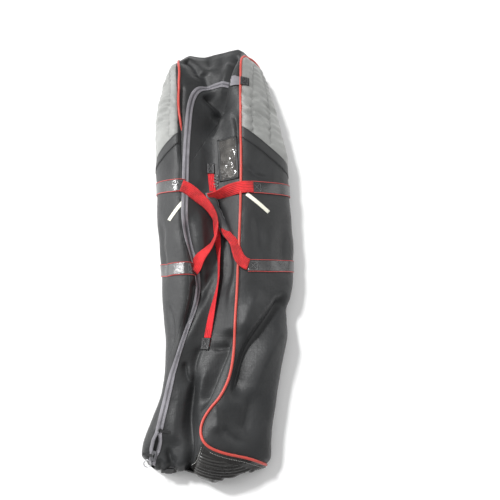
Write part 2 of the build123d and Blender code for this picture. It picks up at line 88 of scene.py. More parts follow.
def solve_spline(t, values, periodic=False):
    """Second derivatives of the cubic spline through values at parameters t."""
    n = len(t) - 1 if periodic else len(t)
    values = np.asarray(values, float)
    matrix = np.zeros((n, n))
    right = np.zeros((n,) + values.shape[1:])
    h = np.diff(t)
    if periodic:
        for i in range(n):
            before, after = h[i - 1], h[i]
            matrix[i, i - 1] += before
            matrix[i, i] += 2 * (before + after)
            matrix[i, (i + 1) % n] += after
            last = values[i - 1] if i else values[n - 1]
            right[i] = 6 * ((values[i + 1] - values[i]) / after - (values[i] - last) / before)
        second = np.linalg.solve(matrix, right)
        return np.concatenate([second, second[:1]])
    matrix[0, 0] = matrix[-1, -1] = 1
    for i in range(1, n - 1):
        matrix[i, i - 1: i + 2] = h[i - 1], 2 * (h[i - 1] + h[i]), h[i]
        right[i] = 6 * ((values[i + 1] - values[i]) / h[i] - (values[i] - values[i - 1]) / h[i - 1])
    return np.linalg.solve(matrix, right)


def spline(t, values, at, periodic=False):
    """Cubic spline through values at parameters t, evaluated at the parameters at."""
    t, values, at = np.asarray(t, float), np.asarray(values, float), np.asarray(at, float)
    if values.ndim > 2:
        flat = spline(t, values.reshape(len(t), -1), at, periodic)
        return flat.reshape((len(at),) + values.shape[1:])
    second = solve_spline(t, values, periodic)
    i = np.clip(np.searchsorted(t, at, side="right") - 1, 0, len(t) - 2)
    h = t[i + 1] - t[i]
    a, b = (t[i + 1] - at) / h, (at - t[i]) / h
    shape = (-1,) + (1,) * (values.ndim - 1)
    a, b, h = a.reshape(shape), b.reshape(shape), h.reshape(shape)
    return (a * values[i] + b * values[i + 1]
            + ((a ** 3 - a) * second[i] + (b ** 3 - b) * second[i + 1]) * h * h / 6)


def chord(points):
    """Length along a polyline at each of its points."""
    points = np.asarray(points, float)
    return np.concatenate([[0], np.cumsum(np.linalg.norm(np.diff(points, axis=0), axis=1))])


def at_lengths(s, values, at):
    """Rows of values, known at lengths s, at other lengths."""
    return np.stack([np.interp(at, s, values[:, k]) for k in range(values.shape[1])], axis=-1)


def smooth_line(points, step=4.0):
    """Points every step along the smooth curve through a few points."""
    points = np.asarray(points, float)
    t = chord(points)
    dense = spline(t, points, np.linspace(0, t[-1], 1200))
    s = chord(dense)
    count = max(2, int(s[-1] / step) + 1)
    at = np.linspace(0, s[-1], count)
    return at_lengths(s, dense, at)


def zip_line(step=4.0):
    """Centre line of the whole zip in plan."""
    curve = smooth_line(ZIP, step)
    top, foot = np.array(ZIP_STRAIGHT, float)
    run = np.linspace(0, 1, int(math.dist(top, foot) / step) + 1)[:, None]
    gap = np.linspace(0, 1, int(math.dist(top, curve[-1]) / step) + 1)[1:-1, None]
    return np.concatenate([curve, curve[-1] * (1 - gap) + top * gap, top * (1 - run) + foot * run])


# ------------ folds
def smoothstep(x):
    """0 below 0, 1 above 1, smooth between."""
    x = np.clip(x, 0, 1)
    return x * x * (3 - 2 * x)


def nearest_on(line, x, y):
    """Signed distance from plan points to a polyline, and the share of its length there."""
    line = np.asarray(line, float)
    best = np.full(np.shape(x), 1e9)
    share = np.zeros(np.shape(x))
    lengths = chord(line)
    for i in range(len(line) - 1):
        (xa, ya), (xb, yb) = line[i], line[i + 1]
        dx, dy = xb - xa, yb - ya
        length = math.hypot(dx, dy)
        if length < 1e-6:
            continue
        t = np.clip(((x - xa) * dx + (y - ya) * dy) / length ** 2, 0, 1)
        ox, oy = x - (xa + t * dx), y - (ya + t * dy)
        distance = np.hypot(ox, oy)
        side = np.sign(dx * oy - dy * ox)
        nearer = distance < np.abs(best)
        best = np.where(nearer, distance * np.where(side == 0, 1, side), best)
        share = np.where(nearer, (lengths[i] + t * length) / lengths[-1], share)
    return best, share


# Each fold: plan points along it, depth (positive rises), half width on its left and on its
# right (seen along the points), and how much of its length fades at the start and the end.
FOLDS = [
    ([(66, 672), (44, 619), (22, 545), (0, 462), (-20, 396), (-32, 344)], -25, 5.5, 30, 0.10, 0.25),
    ([(86, 640), (58, 590), (40, 520), (22, 450)], 6, 16, 14, 0.10, 0.5),
    ([(20, 640), (4, 560), (-16, 480)], 8, 22, 12, 0.15, 0.4),
    ([(-58, 515), (-34, 486), (-16, 452), (-30, 430)], -17, 26, 9, 0.25, 0.25),
    ([(-64, 600), (-50, 560), (-40, 520)], -10, 20, 20, 0.2, 0.3),
    ([(-120, 650), (-96, 628), (-78, 596), (-70, 560)], -12, 10, 24, 0.1, 0.4),
    ([(-50, 676), (-44, 640), (-46, 600)], -9, 16, 16, 0.4, 0.5),
    ([(-10, 676), (-2, 640), (-8, 590)], -6, 14, 14, 0.4, 0.5),
    ([(-122, 540), (-121, 440), (-116, 340), (-112, 240)], -9, 9, 10, 0.10, 0.2),
    ([(30, 440), (48, 380), (50, 300)], -7, 12, 9, 0.3, 0.3),
    ([(-58, 330), (-62, 250), (-60, 170)], 5, 22, 18, 0.3, 0.3),
    ([(-20, 150), (-4, 90), (16, 20), (34, -60), (26, -150)], -15, 16, 20, 0.15, 0.35),
    ([(-62, 130), (-56, 50), (-40, -40)], 8, 20, 18, 0.3, 0.3),
    ([(-92, 100), (-80, 20), (-60, -60), (-44, -130), (-52, -190)], -15, 9, 14, 0.2, 0.3),
    ([(40, 20), (46, -60), (38, -150), (30, -220)], 8, 14, 12, 0.2, 0.4),
    ([(-14, -60), (-40, -140), (-64, -200), (-100, -290)], -11, 8, 18, 0.2, 0.3),
    ([(-62, -100), (-70, -170), (-92, -250)], -12, 7, 10, 0.15, 0.3),
    ([(196, -130), (150, -200), (106, -262), (70, -330), (52, -400), (40, -450)], -24, 30, 13, 0.12, 0.2),
    ([(200, -210), (150, -290), (110, -380), (84, -450)], 9, 26, 30, 0.2, 0.4),
    ([(120, -130), (86, -200), (58, -270)], 8, 26, 20, 0.3, 0.3),
    ([(38, -240), (26, -300), (6, -352), (-12, -400), (-50, -470)], -16, 7, 22, 0.12, 0.2),
    ([(26, -290), (-4, -296), (-24, -290)], -6, 6, 12, 0.1, 0.5),
    ([(-58, -330), (-72, -420), (-80, -500), (-76, -560), (-78, -640)], -20, 20, 9, 0.25, 0.02),
    ([(-100, -380), (-112, -480), (-118, -560)], 7, 22, 22, 0.3, 0.2),
    ([(-134, -556), (-124, -590), (-130, -636)], -9, 7, 9, 0.3, 0.05),
    ([(-110, -580), (-116, -606), (-108, -636)], -8, 7, 8, 0.3, 0.05),
    ([(-150, -590), (-150, -606), (-156, -636)], -6, 7, 8, 0.3, 0.05),
    ([(-42, -280), (-60, -330), (-66, -370)], -7, 7, 12, 0.3, 0.4),
    ([(-88, -330), (-84, -372), (-66, -400)], -8, 6, 10, 0.2, 0.4),
    ([(-24, -350), (-44, -400), (-50, -450)], 6, 14, 14, 0.3, 0.4),
    ([(-166, 60), (-146, -40), (-122, -150)], 6, 18, 16, 0.4, 0.4),
    ([(-186, 130), (-168, 20), (-146, -110)], -8, 14, 10, 0.4, 0.4),
    ([(-150, -150), (-130, -230), (-128, -310)], -7, 12, 9, 0.3, 0.3),
    ([(196, 120), (186, 20), (192, -90)], -6, 16, 16, 0.4, 0.4),
    ([(96, 110), (118, 20), (116, -40)], -5, 18, 14, 0.4, 0.4),
    ([(140, 80), (150, -10), (140, -100)], 5, 24, 22, 0.4, 0.4),
    ([(84, 250), (104, 220), (160, 214)], -6, 8, 14, 0.3, 0.4),
    ([(100, -400), (84, -470), (70, -540)], -7, 18, 14, 0.4, 0.3),
    ([(10, -500), (40, -530), (84, -556)], -6, 9, 14, 0.3, 0.4),
    ([(-8, -440), (4, -486), (0, -530)], 7, 14, 16, 0.4, 0.3),
]

WAVES = [(0.031, 0.011, 0.4, 1.3), (0.013, 0.034, 2.1, 1.2), (-0.041, 0.021, 4.0, 0.8),
         (0.055, 0.047, 1.2, 0.5), (-0.022, 0.063, 5.1, 0.5), (0.083, -0.037, 3.0, 0.3)]


def fold_height(x, y):
    """How far the cloth stands out of its smooth shape at plan points."""
    total = np.zeros(np.shape(x))
    for points, depth, left, right, fade_in, fade_out in FOLDS:
        line = smooth_line(points, 12.0)
        distance, share = nearest_on(line, x, y)
        width = np.where(distance > 0, left, right)
        bump = np.exp(-np.abs(distance / width) ** 1.7 * 1.1)
        strength = smoothstep(share / max(fade_in, 1e-3)) * smoothstep((1 - share) / max(fade_out, 1e-3))
        beyond = np.exp(-np.maximum(0, np.abs(distance) - 4 * width) / 20)
        total += 1.2 * depth * bump * strength * beyond
    for kx, ky, phase, size in WAVES:
        total += size * np.sin(kx * x + ky * y + phase + 0.6 * np.sin(0.017 * y + phase))
    return total


# ------------ the case's skin as a grid
ROWS, COLS = 331, 221
RING = 14


def ring_points(row):
    """The (x, z) points of one cross section, from the left foot of its wall round to the underside."""
    y, left, lsx, lsz, vx, vz, rsx, rsz, right = row
    return np.array([
        (left + 26, -5.0),
        (left + 3, 0.16 * lsz + 2),
        (left, 0.42 * lsz),
        (left + 0.36 * (lsx - left), 0.82 * lsz),
        (lsx, lsz),
        (0.5 * (lsx + vx), 0.42 * lsz + 0.58 * vz),
        (vx, vz),
        (0.5 * (rsx + vx), 0.42 * rsz + 0.58 * vz),
        (rsx, rsz),
        (rsx + 0.55 * (right - rsx), 0.84 * rsz),
        (right, 0.42 * rsz),
        (right - 3, 0.16 * rsz + 2),
        (right - 26, -5.0),
        (0.5 * (left + right), -7.0),
    ])


def skin_grid():
    """Grid of points of the upper skin, from the floor on the left to the floor on the right."""
    ys = np.linspace(FOOT, HEAD, ROWS)
    rings = np.array([ring_points(row) for row in STATIONS])
    rings = spline(STATIONS[:, 0], rings, ys)
    grid = np.zeros((ROWS, COLS, 3))
    for j, ring in enumerate(rings):
        closed = np.concatenate([ring, ring[:1]])
        t = chord(closed)
        fine = spline(t, closed, np.linspace(0, t[RING - 2], 900), periodic=True)
        above = np.nonzero(fine[:, 1] > 0)[0]
        fine = fine[max(0, above[0] - 1): above[-1] + 2]
        s = chord(fine)
        at = np.linspace(0, s[-1], COLS)
        grid[j, :, 0] = np.interp(at, s, fine[:, 0])
        grid[j, :, 1] = ys[j]
        grid[j, :, 2] = np.maximum(np.interp(at, s, fine[:, 1]), 0.0)
    return grid


def end_warp(x, y):
    """How far plan points near the two ends are moved along the case."""
    head = np.interp(x, *np.transpose(HEAD_SHIFT)) * np.clip(1 - (HEAD - y) / END_REACH, 0, 1) ** 2
    foot = np.interp(x, *np.transpose(FOOT_SHIFT)) * np.clip(1 - (y - FOOT) / END_REACH, 0, 1) ** 2
    return head + foot


def unwarped(x, y):
    """The y that a plan point had before end_warp."""
    base = np.array(y, float)
    for _ in range(40):
        base = np.clip(y - end_warp(x, base), FOOT, HEAD)
    return base


def grid_normals(grid):
    """Outward unit normals of a grid of points."""
    du = np.gradient(grid, axis=0)
    dv = np.gradient(grid, axis=1)
    normal = np.cross(dv, du)
    return normal / np.maximum(np.linalg.norm(normal, axis=2, keepdims=True), 1e-9)


def folded_grid():
    """The skin with its folds and its curled ends."""
    grid = skin_grid()
    normal = grid_normals(grid)
    lift = fold_height(grid[:, :, 0], grid[:, :, 1])
    lift *= smoothstep((grid[:, :, 2] - 6) / 40)
    grid = grid + normal * lift[:, :, None]
    grid[:, :, 2] = np.maximum(grid[:, :, 2], 0.0)
    # the ends curl inwards
    for side, end in ((1, HEAD), (-1, FOOT)):
        near = smoothstep((side * (grid[:, :, 1] - end) + 26) / 26)
        grid[:, :, 2] *= 1 - 0.10 * near
    grid[:, :, 1] += end_warp(grid[:, :, 0], grid[:, :, 1])
    return grid


GRID = folded_grid()
NORMALS = grid_normals(GRID)


def grid_sample(fields, j, c):
    """Each of several grids of vectors at fractional row j and column c."""
    j, c = np.clip(j, 0, fields[0].shape[0] - 1.001), np.clip(c, 0, fields[0].shape[1] - 1.001)
    j0, c0 = np.floor(j).astype(int), np.floor(c).astype(int)
    fj, fc = (j - j0)[..., None], (c - c0)[..., None]
    return [(field[j0, c0] * (1 - fj) + field[j0 + 1, c0] * fj) * (1 - fc)
            + (field[j0, c0 + 1] * (1 - fj) + field[j0 + 1, c0 + 1] * fj) * fc for field in fields]


def sample(j, c):
    """Point and outward normal of the skin at fractional row j and column c."""
    return grid_sample((GRID, NORMALS), j, c)


def column_at(x, y):
    """Fractional row and column of the skin above plan points (x, y)."""
    x, y = np.atleast_1d(np.asarray(x, float)), np.atleast_1d(np.asarray(y, float))
    j = np.clip((unwarped(x, y) - FOOT) / (HEAD - FOOT) * (ROWS - 1), 0, ROWS - 1.001)
    c = np.zeros_like(j)
    for k in range(len(j)):
        j0 = int(j[k])
        f = j[k] - j0
        xs = GRID[j0, :, 0] * (1 - f) + GRID[j0 + 1, :, 0] * f
        low, high = int(np.argmin(xs)), int(np.argmax(xs))
        run = np.maximum.accumulate(xs[low:high + 1])
        c[k] = low + np.interp(x[k], run, np.arange(len(run)))
    return j, c


def on_skin(points, lift=0.0):
    """3-D points on the skin above plan points, lifted along the normal, and the normals."""
    points = np.asarray(points, float)
    j, c = column_at(points[:, 0], points[:, 1])
    place, normal = sample(j, c)
    return place + normal * np.reshape(lift, (-1, 1)), normal


# ------------ materials
WHITE = (1, 1, 1)


class Look:
    """A new material with a Principled shader, and short calls that add nodes to it."""

    def __init__(self, name):
        self.material = bpy.data.materials.new(name)
        self.material.use_nodes = True
        self.tree = self.material.node_tree
        self.tree.nodes.clear()
        self.shader = self.add("BsdfPrincipled", {})
        self.add("OutputMaterial", {0: self.shader.outputs[0]})
        self.vector = self.add("TexCoord", {}).outputs["Object"]

    def feed(self, node, feeds):
        """Gives inputs, by name or number, a value or another node's output."""
        for key, value in feeds.items():
            if isinstance(value, bpy.types.NodeSocket):
                self.tree.links.new(value, node.inputs[key])
            else:
                node.inputs[key].default_value = value
        return node

    def add(self, kind, feeds):
        return self.feed(self.tree.nodes.new("ShaderNode" + kind), feeds)

    def noise(self, scale, detail=3.0, rough=0.55):
        feeds = {"Scale": scale, "Detail": detail, "Roughness": rough, "Vector": self.vector}
        return self.add("TexNoise", feeds).outputs["Fac"]

    def wave(self, scale, axis):
        node = self.add("TexWave", {"Scale": scale, "Vector": self.vector})
        node.bands_direction = axis
        return node.outputs["Fac"]

    def maths(self, kind, *values):
        node = self.add("Math", dict(enumerate(values)))
        node.operation = kind
        return node.outputs[0]

    def shades(self, value, stops, colour=WHITE):
        """Ramp through shades of one colour. stops are pairs of position and factor."""
        node = self.add("ValToRGB", {"Fac": value})
        shades = [(at, tuple(min(1.0, c * factor) for c in colour) + (1.0,)) for at, factor in stops]
        elements = node.color_ramp.elements
        elements[0].position, elements[0].color = shades[0]
        elements[1].position, elements[1].color = shades[-1]
        for at, shade in shades[1:-1]:
            elements.new(at).color = shade
        return node.outputs["Color"]

    def bump(self, height, strength, distance, under=None):
        node = self.add("Bump", {"Strength": strength, "Distance": distance, "Height": height})
        if under:
            self.feed(node, {"Normal": under})
        return node.outputs[0]

    def finish(self, **feeds):
        """Feeds the shader, each input named with _ for a space."""
        self.feed(self.shader, {key.replace("_", " "): value for key, value in feeds.items()})
        return self.material


def woven(name, colour, thread=0.9, rough=0.62, sheen=0.12, contrast=0.22, strength=0.35, crumple=0.0):
    """Plain weave: crossed threads of the given size in millimetres, with worn and dusty areas."""
    look = Look(name)
    scale = 1000.0 / thread / 2 / math.pi * 0.5
    threads = look.maths("MULTIPLY", look.wave(scale, "X"), look.wave(scale, "Y"))
    patches, fine = look.noise(7.0, 5.0, 0.6), look.noise(420.0, 2.0, 0.6)
    mix = look.maths("ADD", look.maths("MULTIPLY", patches, 0.75), look.maths("MULTIPLY", fine, 0.25))
    height = look.maths("ADD", threads, look.maths("MULTIPLY", fine, 0.6))
    creases = None
    if crumple:
        # small creases left by folding the case away
        ridges = look.maths("MULTIPLY", look.noise(60.0, 2.0, 0.5), 0.22)
        creases = look.bump(look.maths("ADD", look.noise(21.0), ridges), crumple, 0.005)
    return look.finish(
        Base_Color=look.shades(mix, [(0.32, 1 - contrast), (0.5, 1.0), (0.72, 1 + contrast)], colour),
        Roughness=look.shades(fine, [(0.3, rough - 0.07), (0.7, rough + 0.08)]),
        Sheen_Weight=sheen, Sheen_Roughness=0.45, Normal=look.bump(height, strength, 0.0004, creases))


def ribbed(name, colour, pitch=2.4, rough=0.5, contrast=0.3, strength=0.8, ior=1.5):
    """Webbing with ribs along its UV length, pitch millimetres apart, and fine threads across it."""
    look = Look(name)
    split = look.add("SeparateXYZ", {0: look.add("UVMap", {}).outputs[0]})
    turns = 2 * math.pi * 1000
    threads, ribs = (look.maths("SINE", look.maths("MULTIPLY", split.outputs[axis], turns / width))
                     for axis, width in ((0, 1.6), (1, pitch)))
    height = look.maths("ADD", ribs, look.maths("MULTIPLY", threads, 0.35))
    # colour lighter on the ribs' crests and darker in their grooves: painted shade, mixed with noise for random tone
    value = look.maths("ADD", look.maths("MULTIPLY", ribs, 0.16), look.noise(30.0, 4.0))
    return look.finish(
        Base_Color=look.shades(value, [(0.3, 1 - contrast), (0.5, 1.0), (0.72, 1 + contrast * 0.7)], colour),
        Roughness=rough, Sheen_Weight=0.05, IOR=ior, Normal=look.bump(height, strength, 0.0005))


def moulded(name, colour, rough=0.4, grain=900.0, strength=0.12, metallic=0.0, contrast=0.25):
    """Plastic, rubber, metal or thread: one colour with worn areas and a fine grain."""
    look = Look(name)
    wear = look.noise(35.0, 5.0)
    return look.finish(
        Base_Color=look.shades(wear, [(0.35, 1 - contrast), (0.7, 1 + contrast)], colour),
        Roughness=look.shades(wear, [(0.3, rough * 0.8), (0.7, rough * 1.25)]),
        Metallic=metallic, Normal=look.bump(look.noise(grain), strength, 0.0003))


def clear_vinyl():
    look = Look("window_clear")
    ripple = look.noise(38.0, 3.0, 0.5)
    # the vinyl's grey is lighter where its ripples rise: painted highlight on their crests
    stops = [(0.4, (0.10, 0.095, 0.09, 1)), (0.7, (0.24, 0.23, 0.215, 1))]
    ripple_highlight = look.add("ValToRGB", {"Fac": ripple})
    for element, (at, colour) in zip(ripple_highlight.color_ramp.elements, stops):
        element.position, element.color = at, colour
    return look.finish(Base_Color=ripple_highlight.outputs["Color"], Roughness=0.09, IOR=1.5, Alpha=0.36,
                       Normal=look.bump(ripple, 0.9, 0.004))


FABRIC = woven("case_fabric", (0.015, 0.016, 0.017), thread=1.1, rough=0.50, sheen=0.08, contrast=0.35,
               crumple=0.55)
BAND = woven("band_fabric", (0.026, 0.027, 0.028), thread=1.1, rough=0.52, sheen=0.08)
PAD = woven("pad_fabric", (0.28, 0.285, 0.275), thread=1.3, rough=0.5, sheen=0.15, contrast=0.24,
            strength=0.5, crumple=0.5)
PIPING = woven("piping_red", (0.56, 0.062, 0.045), thread=0.8, rough=0.42, sheen=0.1, contrast=0.2)
RED_WEB = ribbed("strap_red", (0.66, 0.018, 0.022), pitch=5.0, rough=0.6, contrast=0.5, strength=1.0)
GRAB_WEB = ribbed("strap_red_narrow", (0.76, 0.014, 0.024), pitch=5.0, rough=0.6, contrast=0.4, strength=1.0)
EDGE_RED = woven("strap_edge_red", (0.55, 0.060, 0.055), thread=0.8, rough=0.5)
BLACK_WEB = ribbed("strap_black", (0.010, 0.010, 0.011), pitch=2.0, rough=0.2, strength=0.18, ior=1.8)
WRAP_CLOTH = woven("padding_black", (0.050, 0.051, 0.054), thread=1.2, rough=0.5, sheen=0.1)
PATCH_CLOTH = woven("patch_black", (0.012, 0.012, 0.013), thread=1.6, rough=0.55, strength=0.7)
LINING = woven("pocket_lining", (0.030, 0.029, 0.028), thread=1.2, rough=0.6)
TAPE = ribbed("zip_tape", (0.27, 0.26, 0.285), pitch=1.7, rough=0.55, strength=0.6)
COIL = moulded("zip_coil", (0.14, 0.135, 0.15), rough=0.36)
METAL = moulded("zip_metal", (0.62, 0.62, 0.64), rough=0.24, metallic=1.0, contrast=0.15)
DARK_METAL = moulded("slider_metal", (0.16, 0.16, 0.17), rough=0.30, metallic=0.9, contrast=0.3)
BLACK_PLASTIC = moulded("pull_black", (0.014, 0.014, 0.015), rough=0.35)
BAR = woven("bar_white", (0.90, 0.89, 0.76), thread=0.8, rough=0.55, sheen=0.05, contrast=0.06)
THREAD_DARK = moulded("thread_dark", (0.013, 0.013, 0.014), rough=0.6)
THREAD_GREY = moulded("thread_grey", (0.25, 0.25, 0.255), rough=0.6)
THREAD_PALE = moulded("thread_pale", (0.62, 0.62, 0.60), rough=0.6)
THREAD_RED = moulded("thread_red", (0.50, 0.022, 0.026), rough=0.55)
SKID = moulded("skid_black", (0.022, 0.021, 0.020), rough=0.27, strength=0.2)
HOUSING = moulded("housing", (0.022, 0.022, 0.023), rough=0.45)
BOARD = moulded("board", (0.05, 0.05, 0.05), rough=0.5)
TYRE = moulded("tyre", (0.025, 0.025, 0.025), rough=0.55, grain=300.0, strength=0.3)
HUB = moulded("hub", (0.28, 0.28, 0.29), rough=0.4)
STEEL = moulded("steel", (0.55, 0.55, 0.56), rough=0.3, metallic=1.0, contrast=0.1)

VINYL = clear_vinyl()


# ------------ mesh helpers
def mesh_object(name, verts, faces, material, smooth=True):
    """A mesh object from points in millimetres."""
    mesh = bpy.data.meshes.new(name)
    mesh.from_pydata([tuple(float(c) * MM for c in v) for v in verts], [], [tuple(f) for f in faces])
    mesh.update()
    obj = bpy.data.objects.new(name, mesh)
    bpy.context.scene.collection.objects.link(obj)
    if material:
        mesh.materials.append(material)
    if smooth:
        mesh.shade_smooth()
    return obj


def thickened(obj, thickness):
    """Gives a sheet a thickness in millimetres, on its inner side."""
    modifier = obj.modifiers.new("Solidify", "SOLIDIFY")
    modifier.thickness = thickness * MM
    modifier.offset = -1.0
    modifier.use_even_offset = False
    bpy.context.view_layer.update()
    graph = bpy.context.evaluated_depsgraph_get()
    mesh = bpy.data.meshes.new_from_object(obj.evaluated_get(graph))
    old = obj.data
    obj.modifiers.clear()
    obj.data = mesh
    bpy.data.meshes.remove(old)
    return obj


def unit(vectors):
    return vectors / np.maximum(np.linalg.norm(vectors, axis=-1, keepdims=True), 1e-9)


def frames_along(points, normals):
    """Tangent, side and up of a path that lies on the skin."""
    tangent = unit(np.gradient(points, axis=0))
    side = unit(np.cross(normals, tangent))
    up = np.cross(tangent, side)
    return tangent, side, up


def rolled(points, normals, roll):
    """Side and up of a path, turned about it by roll degrees at each point."""
    _, side, up = frames_along(points, normals)
    turn = np.radians(np.asarray(roll, float))[:, None]
    return side * np.cos(turn) + up * np.sin(turn), up * np.cos(turn) - side * np.sin(turn)


def set_uv(obj, uv_of):
    """Writes UVs, in metres, from a function of the vertex index of every face corner."""
    index = np.zeros(len(obj.data.loops), int)
    obj.data.loops.foreach_get("vertex_index", index)
    uv = np.stack(uv_of(index), axis=1) * MM
    obj.data.uv_layers.new(name="UVMap").data.foreach_set("uv", uv.astype(np.float32).ravel())


def tube_faces(rings, sides, base=0):
    """Quads between neighbouring rings of points."""
    return [(base + i * sides + k, base + i * sides + (k + 1) % sides,
             base + (i + 1) * sides + (k + 1) % sides, base + (i + 1) * sides + k)
            for i in range(rings - 1) for k in range(sides)]


def sweep(name, points, normals, profile, material, caps=True, scales=None, roll=0.0):
    """Mesh of a closed profile, as (side, up) pairs in millimetres, swept along a path. UVs in metres.
    scales widen the profile and roll turns it about the path, in degrees at each point."""
    points, normals = np.asarray(points, float), np.asarray(normals, float)
    n, m = len(points), len(profile)
    side, up = rolled(points, normals, np.broadcast_to(roll, n))
    profile = np.asarray(profile, float)
    scales = np.ones(n) if scales is None else np.asarray(scales, float)
    rings = (points[:, None, :] + side[:, None, :] * (profile[None, :, 0:1] * scales[:, None, None])
             + up[:, None, :] * profile[None, :, 1:2])
    faces = tube_faces(n, m)
    if caps:
        faces += [tuple(range(m))[::-1], tuple((n - 1) * m + k for k in range(m))]
    obj = mesh_object(name, rings.reshape(-1, 3), faces, material)
    along = chord(points)
    set_uv(obj, lambda index: (along[index // m], profile[index % m, 0]))
    fix_normals(obj)
    return obj


def fix_normals(obj):
    bm = bmesh.new()
    bm.from_mesh(obj.data)
    bmesh.ops.recalc_face_normals(bm, faces=bm.faces)
    bm.to_mesh(obj.data)
    bm.free()


def circle_profile(radius, count=12, lift=0.0):
    angles = np.linspace(0, 2 * math.pi, count, endpoint=False)
    return [(radius * math.cos(a), radius * math.sin(a) + lift) for a in angles]


def strap_profile(width, thick, lift, crown=0.0, count=9):
    """Flat band with rounded edges."""
    xs = np.linspace(-width / 2, width / 2, count)
    bow = crown * (1 - (2 * xs / width) ** 2)
    top = [(x, lift + thick + b) for x, b in zip(xs, bow)]
    bottom = [(x, lift + b) for x, b in zip(xs[::-1], bow[::-1])]
    return top + bottom


def join(objects, name):
    """Several objects as one mesh object with all their materials."""
    bpy.ops.object.select_all(action="DESELECT")
    for obj in objects:
        obj.select_set(True)
    bpy.context.view_layer.objects.active = objects[0]
    bpy.ops.object.join()
    objects[0].name = name
    return objects[0]


def stitch_run(points, normals, material, name, length=3.2, gap=1.8, radius=0.45, lift=0.25):
    """A row of short raised stitches along a path on the skin."""
    s = chord(points)
    verts, faces = [], []
    at = gap
    section = circle_profile(radius, 5)
    while at + length < s[-1]:
        spots = np.linspace(at, at + length, 3)
        place = at_lengths(s, points, spots)
        _, side, up = frames_along(place, at_lengths(s, normals, spots))
        faces += tube_faces(3, 5, len(verts))
        verts += [place[i] + side[i] * px + up[i] * (pz + height)
                  for i, height in enumerate((-0.35, lift, -0.35)) for px, pz in section]
        at += length + gap
    return mesh_object(name, verts, faces, material)


# ------------ cutting the skin along its seams
def cut_by(bm, field):
    """Cuts a mesh along the zero line of a field of positions."""
    layer = bm.verts.layers.float.get("field") or bm.verts.layers.float.new("field")
    verts = list(bm.verts)
    co = np.array([v.co for v in verts]) / MM
    values = field(co)
    for vert, value in zip(verts, values):
        vert[layer] = float(value) if abs(value) > 1e-4 else 1e-4
    crossing = [e for e in bm.edges if e.verts[0][layer] * e.verts[1][layer] < 0]
    fresh = set()
    for edge in crossing:
        a, b = edge.verts
        share = a[layer] / (a[layer] - b[layer])
        _, vert = bmesh.utils.edge_split(edge, a, min(max(share, 0.02), 0.98))
        vert[layer] = 0.0
        fresh.add(vert)
    for face in list(bm.faces):
        marked = [v for v in face.verts if v in fresh]
        if len(marked) == 2:
            loops = face.verts[:]
            i, j = loops.index(marked[0]), loops.index(marked[1])
            if abs(i - j) not in (1, len(loops) - 1):
                bmesh.utils.face_split(face, marked[0], marked[1])


# ------------ regions
LEFT_CUT = smooth_line(LEFT_SEAM, 10.0)
LEFT_CUT = np.concatenate([[(-140, 900)], LEFT_CUT, [(-420, -520)]])
RIGHT_LOOP = [(190, 566), (164, 602), (136, 630), (112, 645), (90, 648), (72, 636), (62, 606), (60, 556),
              (60, 500), (61, 449), (63, 147), (57, -60), (50, -226), (33, -377), (6, -436), (-34, -494), (-38, -522),
              (-28, -548), (0, -566), (53, -579), (100, -590), (133, -602)]
RIGHT_PIPE = smooth_line(RIGHT_LOOP, 6.0)
RIGHT_CUT = np.concatenate([[(420, 520)], RIGHT_PIPE[::2], [(420, -680)]])
ZIP_PATH = zip_line(4.0)
ZIP_CUT = np.concatenate([[(80, 531)], ZIP_PATH[::3], [(-177, -626), (-184, -760)]])
LEFT_PAD_LINE = [(-420, 133), (-193, 305), (-118, 362), (0, 452)]
RIGHT_PAD_LINE = [(0, 412), (63, 372), (202, 284), (420, 146)]
SKID_LINE = [(-26, -500), (-38, -560), (-70, -621), (-84, -800)]
BAND_WIDE = 36.0
TAPE_HALF = 8.8
SLIDER_Y = (-514.0, -580.0)


def beside(line, shift=0.0):
    """Field of plan points: positive on the left of a line moved shift towards the foot."""
    moved = np.asarray(line, float) + (0, -shift)
    return lambda x, y: nearest_on(moved, x, y)[0]


left_field, right_field, zip_field, skid_field = map(beside, (LEFT_CUT, RIGHT_CUT, ZIP_CUT, SKID_LINE))
left_line_field, right_line_field = map(beside, (LEFT_PAD_LINE, RIGHT_PAD_LINE))
left_band_field, right_band_field = beside(LEFT_PAD_LINE, BAND_WIDE), beside(RIGHT_PAD_LINE, BAND_WIDE)
SLOT_HALF = 7.0  # half width of the strip that is left out under the zip


def fold_field(x, y):
    """Signed distance of plan points from the fold line, positive on the corner's side."""
    (xa, ya), (xb, yb) = FOLD_LINE
    length = math.hypot(xb - xa, yb - ya)
    return ((xb - xa) * (y - ya) - (yb - ya) * (x - xa)) / length


WHEEL_WELLS = (-124.0, 52.0)  # the middles of the two wheel housings


def well_share(x):
    """1 in front of a wheel housing, 0 away from them."""
    near = [smoothstep((44 - np.abs(np.asarray(x, float) - middle)) / 14) for middle in WHEEL_WELLS]
    return np.maximum(*near)


def foot_wall(x, y, z):
    """The foot's end wall is set back low down, where the wheel housings stand."""
    share = well_share(x) * smoothstep((70 - z) / 14)
    return y * (1 - share) + (FOOT + 8.0) * share


# The end wall's rows: share of the height of the skin's edge, and how far the row stands out.
WALL_ROWS = [(0.93, 2.0), (0.82, 3.5), (0.68, 4.5), (0.52, 5.0), (0.36, 4.6), (0.2, 3.6), (0.0, 1.0)]


